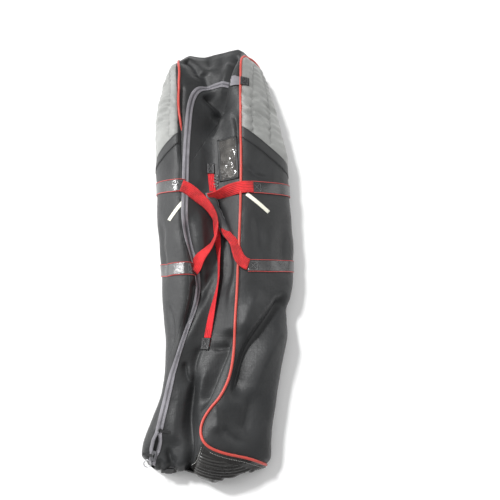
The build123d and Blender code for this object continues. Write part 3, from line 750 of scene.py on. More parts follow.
def skin_bmesh():
    """The whole skin and its two end walls as one mesh."""
    bm = bmesh.new()
    points = GRID * MM
    verts = [[bm.verts.new(points[j, c]) for c in range(COLS)] for j in range(ROWS)]
    for j in range(ROWS - 1):
        for c in range(COLS - 1):
            bm.faces.new((verts[j][c], verts[j][c + 1], verts[j + 1][c + 1], verts[j + 1][c]))
    for j, flip in ((0, False), (ROWS - 1, True)):
        # the end wall drops from the skin's edge to the floor
        ring = verts[j]
        for share, bulge in WALL_ROWS:
            row = []
            for c in range(COLS):
                x, y, z = points[j, c] / MM
                y += (bulge if flip else -bulge) * min(1, z / 30)
                if not flip:
                    y = float(foot_wall(x, y, z * share))
                row.append(bm.verts.new((x * MM, y * MM, z * share * MM)))
            for c in range(COLS - 1):
                quad = (ring[c], ring[c + 1], row[c + 1], row[c])
                bm.faces.new(quad if flip else quad[::-1])
            ring = row
    bmesh.ops.remove_doubles(bm, verts=bm.verts, dist=1e-6)
    bm.normal_update()
    return bm


def split_skin():
    """The skin cut along all its seams: region name to mesh data."""
    bm = skin_bmesh()
    plan_cuts = (left_field, right_field, lambda x, y: zip_field(x, y) - SLOT_HALF,
                 lambda x, y: zip_field(x, y) + SLOT_HALF, left_line_field, left_band_field,
                 right_line_field, right_band_field, fold_field, skid_field)
    cut_by(bm, lambda co: co[:, 2] - SEAM_Z)
    for field in plan_cuts:
        cut_by(bm, lambda co: field(co[:, 0], co[:, 1]))
    faces = list(bm.faces)
    centre = np.array([f.calc_center_median() for f in faces]) / MM
    x, y, z = centre.T
    left, right, zipped, left_line, left_band, right_line, right_band, fold, skid = (
        field(x, y) for field in (left_field, right_field, zip_field, left_line_field, left_band_field,
                                  right_line_field, right_band_field, fold_field, skid_field))
    region = np.full(len(faces), "front_panel", dtype=object)
    front = (left >= 0) & (right <= 0)
    outer = (zipped < -SLOT_HALF) & front
    region[outer & (y > 0)] = "head_strip"
    region[outer & (y <= 0)] = "foot_strip"
    region[(np.abs(zipped) <= SLOT_HALF) & front & (y < 600) & (y > -612)] = "slot"
    region[(zipped > SLOT_HALF) & (fold > 0) & front & (y > 200)] = "front_corner"
    for side, on_side, line, band in (("left", left < 0, left_line, left_band),
                                      ("right", right > 0, right_line, right_band)):
        on_side &= z > SEAM_Z
        region[on_side & (band <= 0)] = f"{side}_side_panel"
        region[on_side & (band > 0) & (line <= 0)] = f"{side}_seam_band"
        region[on_side & (line > 0)] = f"{side}_pad"
    region[z <= SEAM_Z] = "back_panel"
    region[(skid > 0) & (right <= 0) & (y < -500) & (z > 4)] = "foot_skid"
    pieces = {}
    for name in sorted(set(region)):
        chosen = [f for f, r in zip(faces, region) if r == name]
        index, verts, polys = {}, [], []
        for face in chosen:
            poly = []
            for v in face.verts:
                if v not in index:
                    index[v] = len(verts)
                    verts.append(tuple(v.co))
                poly.append(index[v])
            polys.append(poly)
        pieces[name] = (np.array(verts) / MM, polys)
    bm.free()
    return pieces


def panel(name, verts, polys, material, thickness):
    """A cloth panel with its thickness inside its surface."""
    obj = mesh_object(name + "_cloth", verts, polys, material)
    thickened(obj, thickness).data.shade_smooth()
    return obj


def vertex_normals(verts, polys):
    normals = np.zeros_like(verts)
    for poly in polys:
        a, b, c = verts[poly[0]], verts[poly[1]], verts[poly[2]]
        n = np.cross(b - a, c - a)
        for k in poly:
            normals[k] += n
    return unit(normals)


# Quilting on the head pads: stitched lines in plan, each with its half width.
LEFT_QUILT = [([(-166, 590), (-160, 520), (-158, 430), (-156, 340)], 7.0)]
RIGHT_QUILT = [([(100, 612), (98, 520), (96, 430), (98, 350)], 7.0),
               ([(128, 600), (142, 520), (150, 430), (152, 330)], 7.0)]
LEFT_PUCKERS = [([(-206, 470), (-170, 466), (-138, 458)], 8), ([(-206, 446), (-176, 432), (-140, 420)], 7),
                ([(-200, 410), (-170, 404)], 7), ([(-196, 540), (-166, 548)], 6)]
RIGHT_PUCKERS = [([(64, 500), (92, 476), (124, 486)], 8), ([(66, 470), (98, 440), (140, 416), (168, 414)], 8),
                 ([(66, 440), (90, 414), (120, 398)], 7), ([(132, 470), (168, 450)], 7),
                 ([(98, 384), (130, 370)], 6)]


def puff_pad(verts, polys, borders, quilt, puckers, rise):
    """Lifts a pad's cloth between its stitched lines, with puckers where it is slack."""
    x, y, z = verts.T
    distance = np.minimum(np.abs(z - SEAM_Z), np.abs(HEAD - y))
    for field in borders:
        distance = np.minimum(distance, np.abs(field(x, y)))
    lift = rise * (1 - np.exp(-distance / 9.0))
    for line, width in quilt:
        d, share = nearest_on(smooth_line(line, 10.0), x, y)
        lift -= 4.6 * np.exp(-np.abs(d / width) ** 1.2)
        # the cloth gathers into short wrinkles on both sides of a stitched line
        beat = 0.5 + 0.5 * np.sin(0.021 * y + 0.9 * np.sign(d))
        lift += (0.8 + 1.5 * beat) * np.exp(-(np.abs(d) / 24) ** 1.5) * np.sin(
            0.27 * y + 0.05 * np.abs(d) * np.sign(d) + 1.3 * np.sign(d) + 1.5 * np.sin(0.045 * y))
    for line, width in puckers:
        d, share = nearest_on(smooth_line(line, 10.0), x, y)
        fade = np.sin(math.pi * np.clip(share, 0.04, 0.96))
        shoulder = (np.abs(d) - 1.9 * width) / width
        lift += fade * (-6.6 * np.exp(-(d / width) ** 2) + 3.6 * np.exp(-shoulder ** 2))
    lift += 0.6 * np.sin(0.11 * x + 0.07 * y) + 0.4 * np.sin(0.19 * y - 0.08 * x + 2)
    return verts + vertex_normals(verts, polys) * lift[:, None]


pieces = split_skin()
objects = {}
PLAIN = {"back_panel": FABRIC, "front_panel": FABRIC, "front_corner": FABRIC, "head_strip": FABRIC,
         "foot_strip": FABRIC, "left_side_panel": FABRIC, "right_side_panel": FABRIC,
         "left_seam_band": BAND, "right_seam_band": BAND}
for key, material in PLAIN.items():
    verts, polys = pieces[key]
    if key.endswith("seam_band"):
        verts = verts + vertex_normals(verts, polys) * 1.6
    objects[key] = panel(key, verts, polys, material, 2.4 if key.endswith("band") else 1.8)

for key, quilt, puckers, seam_field, line_field in (
        ("left_pad", LEFT_QUILT, LEFT_PUCKERS, left_field, left_line_field),
        ("right_pad", RIGHT_QUILT, RIGHT_PUCKERS, right_field, right_line_field)):
    verts, polys = pieces[key]
    verts = puff_pad(verts, polys, (seam_field, line_field), quilt, puckers, 5.0)
    objects[key] = panel(key, verts, polys, PAD, 5.0)


def underside():
    """Flat cloth under the case, inside its lower edge."""
    rim_left, rim_right = GRID[:, 0], GRID[:, -1]
    count = 40
    verts, faces = [], []
    for j in range(ROWS):
        for k in range(count + 1):
            x = rim_left[j, 0] + (rim_right[j, 0] - rim_left[j, 0]) * k / count
            y = FOOT + (HEAD - FOOT) * j / (ROWS - 1)
            y += end_warp(x, y)
            if y < FOOT + 60:
                y = max(y, float(foot_wall(x, y, 0.0)))
            verts.append((x, y, 0.0))
    for j in range(ROWS - 1):
        for k in range(count):
            a = j * (count + 1) + k
            faces.append((a, a + count + 1, a + count + 2, a + 1))
    obj = mesh_object("back_sheet", verts, faces, FABRIC)
    return thickened(obj, 1.6)


objects["back_sheet"] = underside()


# ------------ what rides on what
def place(obj, body, *nodes, slot=None):
    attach(obj, body)
    if nodes:
        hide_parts(*nodes)
    return obj


for key in PLAIN:
    if key not in ("front_corner", "back_panel"):
        place(objects[key], "case", key, slot="case_fabric")
objects["back_panel"] = join([objects["back_panel"], objects["back_sheet"]], "back_panel_cloth")
place(objects["back_panel"], "case", "back_panel", slot="case_fabric")
for key in ("left_pad", "right_pad"):
    place(objects[key], "case", key, slot="pad_fabric")


def blend_beside(obj):
    """Bakes the object's transform into its mesh."""
    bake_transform(obj)


def fold_blend(obj):
    """Bakes the corner's transform into its mesh."""
    blend_beside(obj)


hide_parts("front_corner")
fold_blend(objects["front_corner"])


# ------------ piping
def pipe(name, plan_points, radius, lift, material, sink=0.0):
    """Cord laid in a seam. sink lets its last end dive under the cloth."""
    share = np.linspace(0, 1, len(plan_points))
    points, normals = on_skin(plan_points, lift - sink * smoothstep((share - 0.86) / 0.14))
    return sweep(name, points, normals, circle_profile(radius, 12), material)


left_pipe_plan = smooth_line(LEFT_PIPE, 5.0)
right_pipe_plan = smooth_line(RIGHT_LOOP, 5.0)
# the piping stops at the back seam at both ends
pipe_heights = on_skin(right_pipe_plan, 0.0)[0][:, 2]
right_pipe_plan = right_pipe_plan[(right_pipe_plan[:, 0] < 141) & (pipe_heights > SEAM_Z + 4)]
for seam, line, sink in (("left", left_pipe_plan, 8.0), ("right", right_pipe_plan, 0.0)):
    cord = pipe(f"{seam}_piping_cord", line, 3.7, 2.4, PIPING, sink)
    place(cord, "case", f"{seam}_piping", slot="piping_red")


def beside_line(line, distance):
    """Plan polyline shifted sideways; positive is to the left of its direction."""
    line = np.asarray(line, float)
    tangent = np.gradient(line, axis=0)
    tangent /= np.linalg.norm(tangent, axis=1, keepdims=True)
    shift = np.reshape(distance, (-1, 1)) if np.ndim(distance) else distance
    return line + np.stack([-tangent[:, 1], tangent[:, 0]], axis=1) * shift


def sewn_rows(name, lines, lift, material, *sizes):
    """Rows of stitches along plan lines of the skin, as one piece. sizes are those of stitch_run."""
    rows = []
    for k, line in enumerate(lines):
        points, normals = on_skin(line, lift)
        rows.append(stitch_run(points, normals, material, f"{name}_{k}", *sizes))
    place(join(rows, name), "case")


for seam, line in (("left", left_pipe_plan), ("right", right_pipe_plan)):
    sewn_rows(f"{seam}_seam_stitches", [beside_line(line, -7.5), beside_line(line, 7.5)], 0.2, THREAD_DARK)


# ------------ zip
def zip_open(y):
    """Half width of the open gap between the sliders."""
    inside = smoothstep((SLIDER_Y[0] - 6 - y) / 24) * smoothstep((y - SLIDER_Y[1] + 4) / 22)
    return 5.0 * inside


def tape_share(y):
    """The tape is tucked partly under the cloth where the front sags."""
    return 1 - 0.38 * smoothstep((-70 - y) / 60) * smoothstep((y + 420) / 120)


TOOTH_PITCH = 2.6
# One tooth's corners: along the zip, away from its middle, and up.
TOOTH = [(-0.55, -1.5, -0.4), (0.55, -1.5, -0.4), (0.55, 1.6, -0.4), (-0.55, 1.6, -0.4),
         (-0.45, -1.2, 1.6), (0.45, -1.2, 1.6), (0.45, 1.3, 1.5), (-0.45, 1.3, 1.5)]
TOOTH_FACES = [(0, 1, 2, 3), (7, 6, 5, 4), (0, 4, 5, 1), (1, 5, 6, 2), (2, 6, 7, 3), (3, 7, 4, 0)]


def zip_half(side, mask, suffix):
    """Tape, coil teeth and stitching of one half of the zip. side is 1 for the inner half."""
    path = ZIP_PATH[mask]
    gap = zip_open(path[:, 1])
    made = []
    share = tape_share(path[:, 1])
    centre = beside_line(path, side * (0.9 + TAPE_HALF * share / 2 + gap))
    points, normals = on_skin(centre, 0.0)
    profile = strap_profile(TAPE_HALF, 0.9, 0.9, crown=0.5, count=7)
    made.append(sweep(f"zip_tape_{suffix}_web", points, normals, profile, TAPE, scales=share))
    rope, rope_normals = on_skin(beside_line(path, side * (1.25 + gap)), 1.3)
    made.append(sweep(f"zip_cord_{suffix}", rope, rope_normals, circle_profile(1.3, 8), COIL))
    s = chord(rope)
    verts, faces = [], []
    for at in np.arange(0.0 if side > 0 else TOOTH_PITCH / 2, s[-1], TOOTH_PITCH):
        p, n = at_lengths(s, rope, at), at_lengths(s, rope_normals, at)
        q = at_lengths(s, rope, min(at + 1, s[-1]))
        t = q - p if np.linalg.norm(q - p) > 1e-6 else p - at_lengths(s, rope, at - 1)
        t /= np.linalg.norm(t)
        w = np.cross(n, t)
        w /= np.linalg.norm(w)
        base = len(verts)
        verts += [p + t * a + w * (b * side) + n * c for a, b, c in TOOTH]
        faces += [tuple(base + k for k in quad) for quad in TOOTH_FACES]
    teeth = mesh_object(f"zip_teeth_{suffix}", verts, faces, COIL, smooth=False)
    fix_normals(teeth)
    made.append(teeth)
    stitched = beside_line(path, side * (TAPE_HALF * share + gap - 1.0))
    points, normals = on_skin(stitched, 2.0)
    made.append(stitch_run(points, normals, THREAD_GREY, f"zip_stitches_{suffix}", radius=0.4))
    return made


inner_fold = fold_field(*beside_line(ZIP_PATH, 6.0).T)
corner_mask = (inner_fold > -1) & (ZIP_PATH[:, 1] > 200)
lower_mask = ~corner_mask & (ZIP_PATH[:, 1] < 400)
upper_mask = ~corner_mask & (ZIP_PATH[:, 1] >= 400)
# neighbouring lengths of the zip share one cross section
lower_mask[:-1] |= lower_mask[1:]
upper_mask[1:] |= upper_mask[:-1]
for body_name, mask, suffix, side in (("case", np.ones(len(ZIP_PATH), bool), "outer", -1),
                                      ("corner", corner_mask, "corner", 1),
                                      ("case", lower_mask, "inner", 1), ("case", upper_mask, "top", 1)):
    tape, cord, teeth, stitches = zip_half(side, mask, suffix)
    if suffix != "top":
        for obj, part in ((tape, "zip_tape"), (cord, "zip_coil")):
            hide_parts(f"{part}_{suffix}")
    for obj in (tape, cord, teeth, stitches):
        if suffix == "corner":
            fold_blend(obj)
        else:
            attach(obj, body_name)

# dark lining seen through the open stretch of the zip
verts, polys = pieces["slot"]
lining = panel("zip_lining", verts - vertex_normals(verts, polys) * 6.0, polys, THREAD_DARK, 1.0)
place(lining, "case")


# ------------ flat pieces sewn on the skin
def sheet_grid(name, points, normals, thick, material):
    """A grid of points made into a closed sheet. UVs in metres: along the rows, then across."""
    nu, nv = points.shape[:2]
    total = nu * nv
    verts = np.concatenate([points.reshape(-1, 3), (points + normals * thick).reshape(-1, 3)])
    index = np.arange(total).reshape(nu, nv)
    faces = []
    for i in range(nu - 1):
        for k in range(nv - 1):
            quad = (index[i, k], index[i + 1, k], index[i + 1, k + 1], index[i, k + 1])
            faces.append(quad[::-1])
            faces.append(tuple(q + total for q in quad))
    rim = [*index[0, :], *index[1:, -1], *index[-1, -2::-1], *index[-2:0:-1, 0]]
    for a, b in zip(rim, rim[1:] + rim[:1]):
        faces.append((a, b, b + total, a + total))
    obj = mesh_object(name, verts, faces, material)
    along, across = chord(points[:, nv // 2]), chord(points[nu // 2])
    set_uv(obj, lambda index: (along[index % total // nv], across[index % total % nv] - across[-1] / 2))
    fix_normals(obj)
    return obj


def quad_grid(corners, cells, lift):
    """Grid of skin points inside four plan corners, taken in order round them."""
    a, b, c, d = (np.array(corner, float) for corner in corners)
    u, v = np.meshgrid(np.linspace(0, 1, cells[0] + 1), np.linspace(0, 1, cells[1] + 1), indexing="ij")
    u, v = u[..., None], v[..., None]
    spots = a * (1 - u) * (1 - v) + b * u * (1 - v) + c * u * v + d * (1 - u) * v
    points, normals = on_skin(spots.reshape(-1, 2), lift)
    shape = (cells[0] + 1, cells[1] + 1, 3)
    return points.reshape(shape), normals.reshape(shape)


def on_sheet(points, normals, along, across):
    """Points and normals of a sheet's surface at lengths along it and offsets across it."""
    nu, nv = points.shape[:2]
    lengths = chord(points[:, nv // 2])
    width = np.linalg.norm(points[nu // 2, -1] - points[nu // 2, 0])
    i = np.interp(along, lengths, np.arange(nu))
    k = (np.asarray(across, float) / width + 0.5) * (nv - 1)
    return grid_sample((points, normals), i, k)


def sewn_lines(name, points, normals, lines, material, lift=0.3, length=2.6, gap=1.3, radius=0.42):
    """Stitches on a sheet along lines of (along, across) corners."""
    made = []
    for k, line in enumerate(lines):
        dense = np.concatenate([np.linspace(p, q, max(3, int(math.dist(p, q) / 1.5)))[:-1]
                                for p, q in zip(line, line[1:])] + [[line[-1]]])
        place_at, normal = on_sheet(points, normals, dense[:, 0], dense[:, 1])
        made.append(stitch_run(place_at, normal, material, f"{name}_{k}", length, gap, radius, lift))
    return join(made, name)


def box_and_cross(near, far, half):
    """Lines of a sewn box with its diagonals."""
    return [[(near, -half), (far, -half), (far, half), (near, half), (near, -half)],
            [(near, -half), (far, half)], [(near, half), (far, -half)]]


def rounded(points, times):
    """The rows of a grid smoothed along their length, with both ends kept."""
    for _ in range(times):
        points[1:-1] = (points[:-2] + 2 * points[1:-1] + points[2:]) / 4
    return points


def flat_piece(name, node, slot, corners, cells, lift, thick, material, smooth=0):
    """A flat piece on the skin inside four plan corners: its upper surface, normals and length."""
    points, normals = quad_grid(corners, cells, lift)
    points = rounded(points, smooth)
    place(sheet_grid(name, points, normals, thick, material), "case", *node, slot=slot)
    return points + normals * thick, normals, chord(points[:, cells[1] // 2])[-1]


# ------------ side straps
STRAPS = {
    "left_strap_upper": (-101, 180.5, 37, -1),
    "left_strap_lower": (-70, -71.5, 36, -1),
    "right_strap_upper": (94, 172, 36, 1),
    "right_strap_lower": (84, -68, 34, 1),
}


def side_strap(key, x_start, y_mid, width, side):
    """Shiny strap with thin red edges, from its inner end over the side down to the back seam."""
    j, c = column_at(x_start, y_mid)
    middle = GRID[int(round(float(j[0])))]
    high = np.nonzero(middle[:, 2] > SEAM_Z + 4)[0]
    columns = np.linspace(c[0], high[0] if side < 0 else high[-1], 70)
    rows = np.linspace(-width / 2, width / 2, 13)
    heights = np.interp(columns, np.arange(COLS), middle[:, 2])
    drop = np.maximum(0, middle[int(round(float(c[0]))), 2] - heights)
    jj, cc = np.meshgrid((y_mid + rows - FOOT) / (HEAD - FOOT) * (ROWS - 1), columns)
    jj += drop[:, None] * 0.26 / (HEAD - FOOT) * (ROWS - 1)
    points, normals = sample(jj, cc)
    points = rounded(points, 8)
    body_points = points + normals * 1.5
    web = sheet_grid(f"{key}_web", body_points, normals, 1.5, BLACK_WEB)
    place(web, "case", key, slot="strap_black")
    edges = []
    for k, (a, b, shares) in enumerate(((0, 1, (1.25, 0.7)), (-2, -1, (0.25, -0.25)))):
        rim = np.stack([points[:, a] * share + points[:, b] * (1 - share) for share in shares], axis=1)
        rim_normals = np.stack([normals[:, a], normals[:, b]], axis=1)
        edges.append(sheet_grid(f"{key}_edge_{k}", rim + rim_normals * 1.6, rim_normals, 1.9, EDGE_RED))
    rim = join(edges, f"{key}_edges")
    place(rim, "case", slot="strap_red")
    top = body_points + normals * 1.5
    near = 30.0 if key == "left_strap_upper" else 4.0
    lines = [[(x - near + 2.5, y) for x, y in line] for line in box_and_cross(near, near + 26, width / 2 - 5)]
    place(sewn_lines(f"{key}_stitches", top, normals, lines, THREAD_GREY, lift=0.25), "case")


for key, facts in STRAPS.items():
    side_strap(key, *facts)


# ------------ carry handles
def loose_path(plan_points, step, lifts, smooth=10):
    """A smooth path above the skin through plan points, with a lift at each of them."""
    rows = np.array([(x, y, lift) for (x, y), lift in zip(plan_points, lifts)], float)
    dense = smooth_line(rows, step)
    points, normals = on_skin(dense[:, :2], 0.0)
    # a loose strap spans the hollows of the cloth
    points = rounded(points.copy(), smooth)
    points[:, 2] += dense[:, 2]
    normals = rounded(normals.copy(), smooth * 3)
    normals[:, :2] *= 0.4
    normals /= np.linalg.norm(normals, axis=1, keepdims=True)
    return points, normals


def spread(values, count):
    return np.interp(np.linspace(0, 1, count), np.linspace(0, 1, len(values)), values)


def webbing(name, points, normals, width, thick, material, roll, scales=None):
    """Flat webbing along a path, with a roll at each point."""
    profile = strap_profile(width, thick, -thick / 2, crown=0.4, count=13)
    return sweep(name, points, normals, profile, material, roll=roll, scales=scales)


def hinge_blend(obj):
    """Bakes a handle piece's transform into its mesh."""
    blend_beside(obj)


def edge_stitches(name, points, normals, width, thick, roll, material):
    """Two rows of stitches near the edges of a strap that turns about its length."""
    across, out = rolled(points, normals, roll)
    rows = []
    for k, share in enumerate((-0.42, 0.42)):
        line = points + across * (width * share) + out * (thick / 2)
        rows.append(stitch_run(line, out, material, f"{name}_{k}", 2.4, 1.4, 0.35, 0.35))
    return join(rows, name)


LEFT_HANDLE = [(-112, 178), (-99, 174), (-73, 158), (-46, 135), (-22, 106), (-8, 70), (-9, 34), (-21, 2),
               (-42, -22), (-60, -48), (-72, -74)]
points, normals = loose_path(LEFT_HANDLE, 4.0, [4.0, 5.5, 9, 15, 22, 25, 25, 20, 13, 7, 4.6])
roll = spread([0, 6, 26, 48, 66, 76, 77, 66, 42, 20, 6], len(points))
shares = spread([1, 1, 0.9, 0.84, 0.84, 0.84, 0.84, 0.86, 0.92, 1, 1], len(points))
handle = webbing("left_handle_web", points, normals, 36, 2.0, RED_WEB, roll, shares)
stitches = edge_stitches("left_handle_stitches", points, normals, 36 * 0.86, 2.0, roll, THREAD_RED)
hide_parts("left_handle")
for obj in (handle, stitches):
    hinge_blend(obj)

RIGHT_TOP = [(100, 172), (84, 171), (60, 168), (30, 162), (2, 153), (-20, 148), (-32, 146)]
RIGHT_LOW = [(18, 54), (26, 38), (40, 10), (50, -18), (58, -44), (70, -60), (86, -66)]
bands, seams = [], []
for part, line, lifts, turns, width in (
        ("upper", RIGHT_TOP, [3.6, 4.6, 7.5, 13, 19, 23, 23], [0, 2, 14, 34, 58, 72, 74], 36),
        ("lower", RIGHT_LOW, [14, 15, 16, 15, 11, 7, 4.6], [58, 58, 54, 48, 34, 14, 2], 34)):
    points, normals = loose_path(line, 4.0, lifts)
    roll = -spread(turns, len(points))
    bands.append(webbing(f"right_handle_{part}_web", points, normals, width, 2.0, RED_WEB, roll))
    seams.append(edge_stitches(f"right_handle_{part}_stitches", points, normals, width, 2.0, roll,
                               THREAD_RED))
band = join(bands, "right_handle_web")
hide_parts("right_handle")
for obj in (band, join(seams, "right_handle_stitches")):
    hinge_blend(obj)

WRAP = [(-30, 164), (-24, 148), (-12, 115), (5, 75), (18, 46), (24, 32)]
points, normals = loose_path(WRAP, 3.0, [15, 17, 18, 18, 17, 15])
share = np.linspace(0, 1, len(points))
swell = 1 + 0.07 * np.sin(share * 31) * np.sin(share * math.pi) - 0.12 * np.abs(2 * share - 1) ** 6
angles = np.linspace(0, 2 * math.pi, 28, endpoint=False)
profile = [(13.2 * math.copysign(abs(math.cos(a)) ** 0.7, math.cos(a)),
            5.6 * math.copysign(abs(math.sin(a)) ** 0.85, math.sin(a))) for a in angles]
wrap_roll = spread([-24, -14, -10], len(points))
wrap = sweep("handle_wrap_pad", points, normals, profile, WRAP_CLOTH, scales=swell, roll=wrap_roll)
reach = rolled(points, normals, wrap_roll)[0] * (13.4 * swell)[:, None]
rims = [sweep(f"handle_wrap_rim_{k}", points + reach * sign, normals, circle_profile(1.3, 8), THREAD_GREY)
        for k, sign in enumerate((1, -1))]
wrap_rim = join(rims, "handle_wrap_rims")
place(wrap, "right_carry", "handle_wrap", slot="padding_black")
place(wrap_rim, "right_carry")


# ------------ grab strap and its patches
GRAB = [(-30, 252), (-27, 225), (-24, 196), (-20, 166), (-14, 120), (-10, 80), (-5, 30), (-1, -20), (0, -60),
        (-1, -100), (-7, -140), (-18, -197), (-28, -258), (-33, -288)]
points, normals = loose_path(GRAB, 4.0, [1.8, 2.2, 3.0, 3, 3, 3, 7, 10, 10.5, 10, 8, 5, 2.6, 1.8], smooth=6)
grab_roll = spread([0, 0, 6, 10, 6, 4, 40, 64, 68, 66, 48, 26, 8, 0], len(points))
grab = webbing("grab_strap_web", points, normals, 19, 1.8, GRAB_WEB, grab_roll)
place(grab, "case", "grab_strap", slot="strap_red")
place(edge_stitches("grab_strap_stitches", points, normals, 19, 1.8, grab_roll, THREAD_RED), "case")
for key, corners in (("upper", [(-41, 265), (-40, 230), (-17, 230), (-18, 265)]),
                     ("lower", [(-45, -264), (-49, -297), (-25, -299), (-19, -266)])):
    top, normals, lengths = flat_piece(f"grab_patch_{key}_cloth", [f"grab_patch_{key}"], "strap_black",
                                       corners, (14, 10), 3.1, 1.4, PATCH_CLOTH, 3)
    rows = [[(x, sign * (8.5 - 3.4 * (k % 2))) for k, x in enumerate(np.arange(3, lengths - 2, 4.0))]
            for sign in (-1, 1)]
    lines = box_and_cross(2.5, lengths - 2.5, 8.8) + rows
    place(sewn_lines(f"grab_patch_{key}_stitches", top, normals, lines, THREAD_GREY,
                     length=2.2, gap=0.9), "case")

rows = []
for k, (shift, material) in enumerate(((0.0, THREAD_DARK), (3.5, THREAD_DARK), (1.6, THREAD_PALE))):
    line = np.array([(-19 + shift + 13 * (j % 2), 224 - 5.0 * j) for j in range(9)])
    points, normals = on_skin(smooth_line(line, 1.5), 5.2)
    rows.append(stitch_run(points, normals, material, f"grab_zigzag_{k}", 3.6, 0.8, 0.55, 0.3))
place(join(rows, "grab_zigzag"), "case")

# ------------ identity pocket
ID_CORNERS = [(-10, 342), (0, 200), (58, 200), (50, 342)]
points, normals = quad_grid(ID_CORNERS, (48, 24), 1.0)
points = rounded(points, 6)
u, v = np.meshgrid(np.linspace(0, 1, 49), np.linspace(0, 1, 25), indexing="ij")
inside = np.minimum(np.minimum(u, 1 - u) * 5, np.minimum(v, 1 - v) * 3).clip(0, 1)
crumple = (np.sin(9 * u + 5 * v + 1) * 0.9 + np.sin(23 * v - 14 * u + 2) * 0.6
           + np.sin(31 * u + 17 * v) * 0.45 + np.abs(np.sin(12 * u - 20 * v + 0.5)) * 0.9)
vinyl_lift = (0.9 + inside * (1.4 + crumple))[..., None]
vinyl = sheet_grid("id_window_vinyl", points + normals * vinyl_lift, normals, 0.4, VINYL)
place(vinyl, "case", "id_window", slot="window_clear")
paper = sheet_grid("id_window_lining", points + normals * 0.1, normals, 0.5, LINING)
place(paper, "case")
frame_parts = []
for k, (u0, u1, v0, v1) in enumerate(((0, 0.045, 0, 1), (0.955, 1, 0, 1), (0, 1, 0, 0.11), (0, 1, 0.89, 1))):
    i0, i1 = int(round(u0 * 48)), max(int(round(u1 * 48)), int(round(u0 * 48)) + 2)
    k0, k1 = int(round(v0 * 24)), max(int(round(v1 * 24)), int(round(v0 * 24)) + 2)
    strip, strip_normals = points[i0:i1 + 1, k0:k1 + 1], normals[i0:i1 + 1, k0:k1 + 1]
    frame_parts.append(sheet_grid(f"id_frame_{k}", strip + strip_normals * 0.6, strip_normals, 1.3, FABRIC))
place(join(frame_parts, "id_binding_cloth"), "case", "id_binding", slot="binding_black")
span, breadth = chord(points[:, 12])[-1], np.linalg.norm(points[24, -1] - points[24, 0])
lines = box_and_cross(4, span - 4, breadth / 2 - 3.6)[:1]
place(sewn_lines("id_binding_stitches", points + normals * 1.9, normals, lines, THREAD_DARK), "case")


# ------------ bars, end tab
def bar_corners(start, end, half):
    """The four plan corners of a bar of a given half width."""
    (xa, ya), (xb, yb) = start, end
    length = math.hypot(xb - xa, yb - ya)
    nx, ny = -half * (yb - ya) / length, half * (xb - xa) / length
    return [(xa + nx, ya + ny), (xb + nx, yb + ny), (xb - nx, yb - ny), (xa - nx, ya - ny)]


for key, start, end, half in (("left_bar", (-107, 129), (-147, 76), 5.4),
                              ("right_bar", (80, 150), (145, 101), 5.8)):
    flat_piece(f"{key}_print", [key], "bar_white", bar_corners(start, end, half), (30, 6), 0.5, 0.5, BAR, 4)

top, normals, lengths = flat_piece("zip_end_tab_cloth", ["zip_end_tab"], "strap_black",
                                   [(59, 541), (59, 514), (84, 513), (84, 540)], (14, 12), 5.6, 1.8,
                                   PATCH_CLOTH, 4)
place(sewn_lines("zip_end_tab_stitches", top, normals, box_and_cross(3, lengths - 3, 9.5), THREAD_GREY,
                 length=2.2, gap=0.9), "case")
flat_piece("zip_end_cover", [], "zip_tape", [(30, 540), (30, 514), (60, 514), (60, 541)], (16, 12), 2.6,
           1.2, TAPE)


# ------------ moulded skid
def skid_ribs(x, y):
    """Height of the skid's ribs: nested curves on its middle, fine lines beside the piping."""
    seam = np.abs(right_field(x, y))
    radius = np.hypot(x - 24, (y + 470) * 1.05)
    curved = 0.5 + 0.5 * np.cos(2 * math.pi * radius / 7.4)
    fine = 0.5 + 0.5 * np.cos(2 * math.pi * seam / 3.6)
    near = smoothstep((26 - seam) / 6)
    plain = smoothstep((skid_field(x, y) - 5) / 4) * smoothstep((seam - 6) / 3)
    return (curved * (1 - near) * 3.6 + fine * near * 1.6) * plain


verts, polys = pieces["foot_skid"]
skid = mesh_object("foot_skid_moulding", verts, polys, SKID)
bm = bmesh.new()
bm.from_mesh(skid.data)
bmesh.ops.triangulate(bm, faces=[f for f in bm.faces if len(f.verts) > 4])
bmesh.ops.subdivide_edges(bm, edges=bm.edges[:], cuts=2, use_grid_fill=True)
bm.normal_update()
place_at = np.array([v.co for v in bm.verts]) / MM
outward = np.array([v.normal for v in bm.verts])
rise = 1.4 + skid_ribs(place_at[:, 0], place_at[:, 1])
for vert, at, out, up in zip(bm.verts, place_at, outward, rise):
    vert.co = [(a + o * up) * MM for a, o in zip(at, out)]
bm.to_mesh(skid.data)
bm.free()
thickened(skid, 2.4).data.shade_smooth()
place(skid, "case", "foot_skid", slot="skid_black")
skid_side = smooth_line([(-38, -556), (-52, -596), (-68, -618)], 3.0)
skid_top = right_pipe_plan[right_pipe_plan[:, 1] < -560]
sewn_rows("skid_stitches", [beside_line(skid_side, 2.6), beside_line(skid_top, -10.5)], 2.6, THREAD_PALE,
          3.0, 2.0, 0.5, 0.5)

# ------------ quilting seams, hems
for key, quilt in (("left_pad", LEFT_QUILT), ("right_pad", RIGHT_QUILT)):
    sewn_rows(f"{key}_quilt_stitches", [smooth_line(line, 4.0) for line, _ in quilt], 1.9, THREAD_GREY,
              3.0, 1.6, 0.4, 0.3)
for key, line, low_x, high_x in (("left", LEFT_PAD_LINE, -200, -118), ("right", RIGHT_PAD_LINE, 70, 196)):
    xs = np.linspace(low_x, high_x, 40)
    ys = np.interp(xs, *np.transpose(line))
    lines = [np.stack([xs, ys + shift], axis=1) for shift in (-4.0, -BAND_WIDE + 4.0, -BAND_WIDE - 4.0)]
    sewn_rows(f"{key}_band_stitches", lines, 1.9, THREAD_DARK, 3.0, 1.6, 0.45, 0.3)

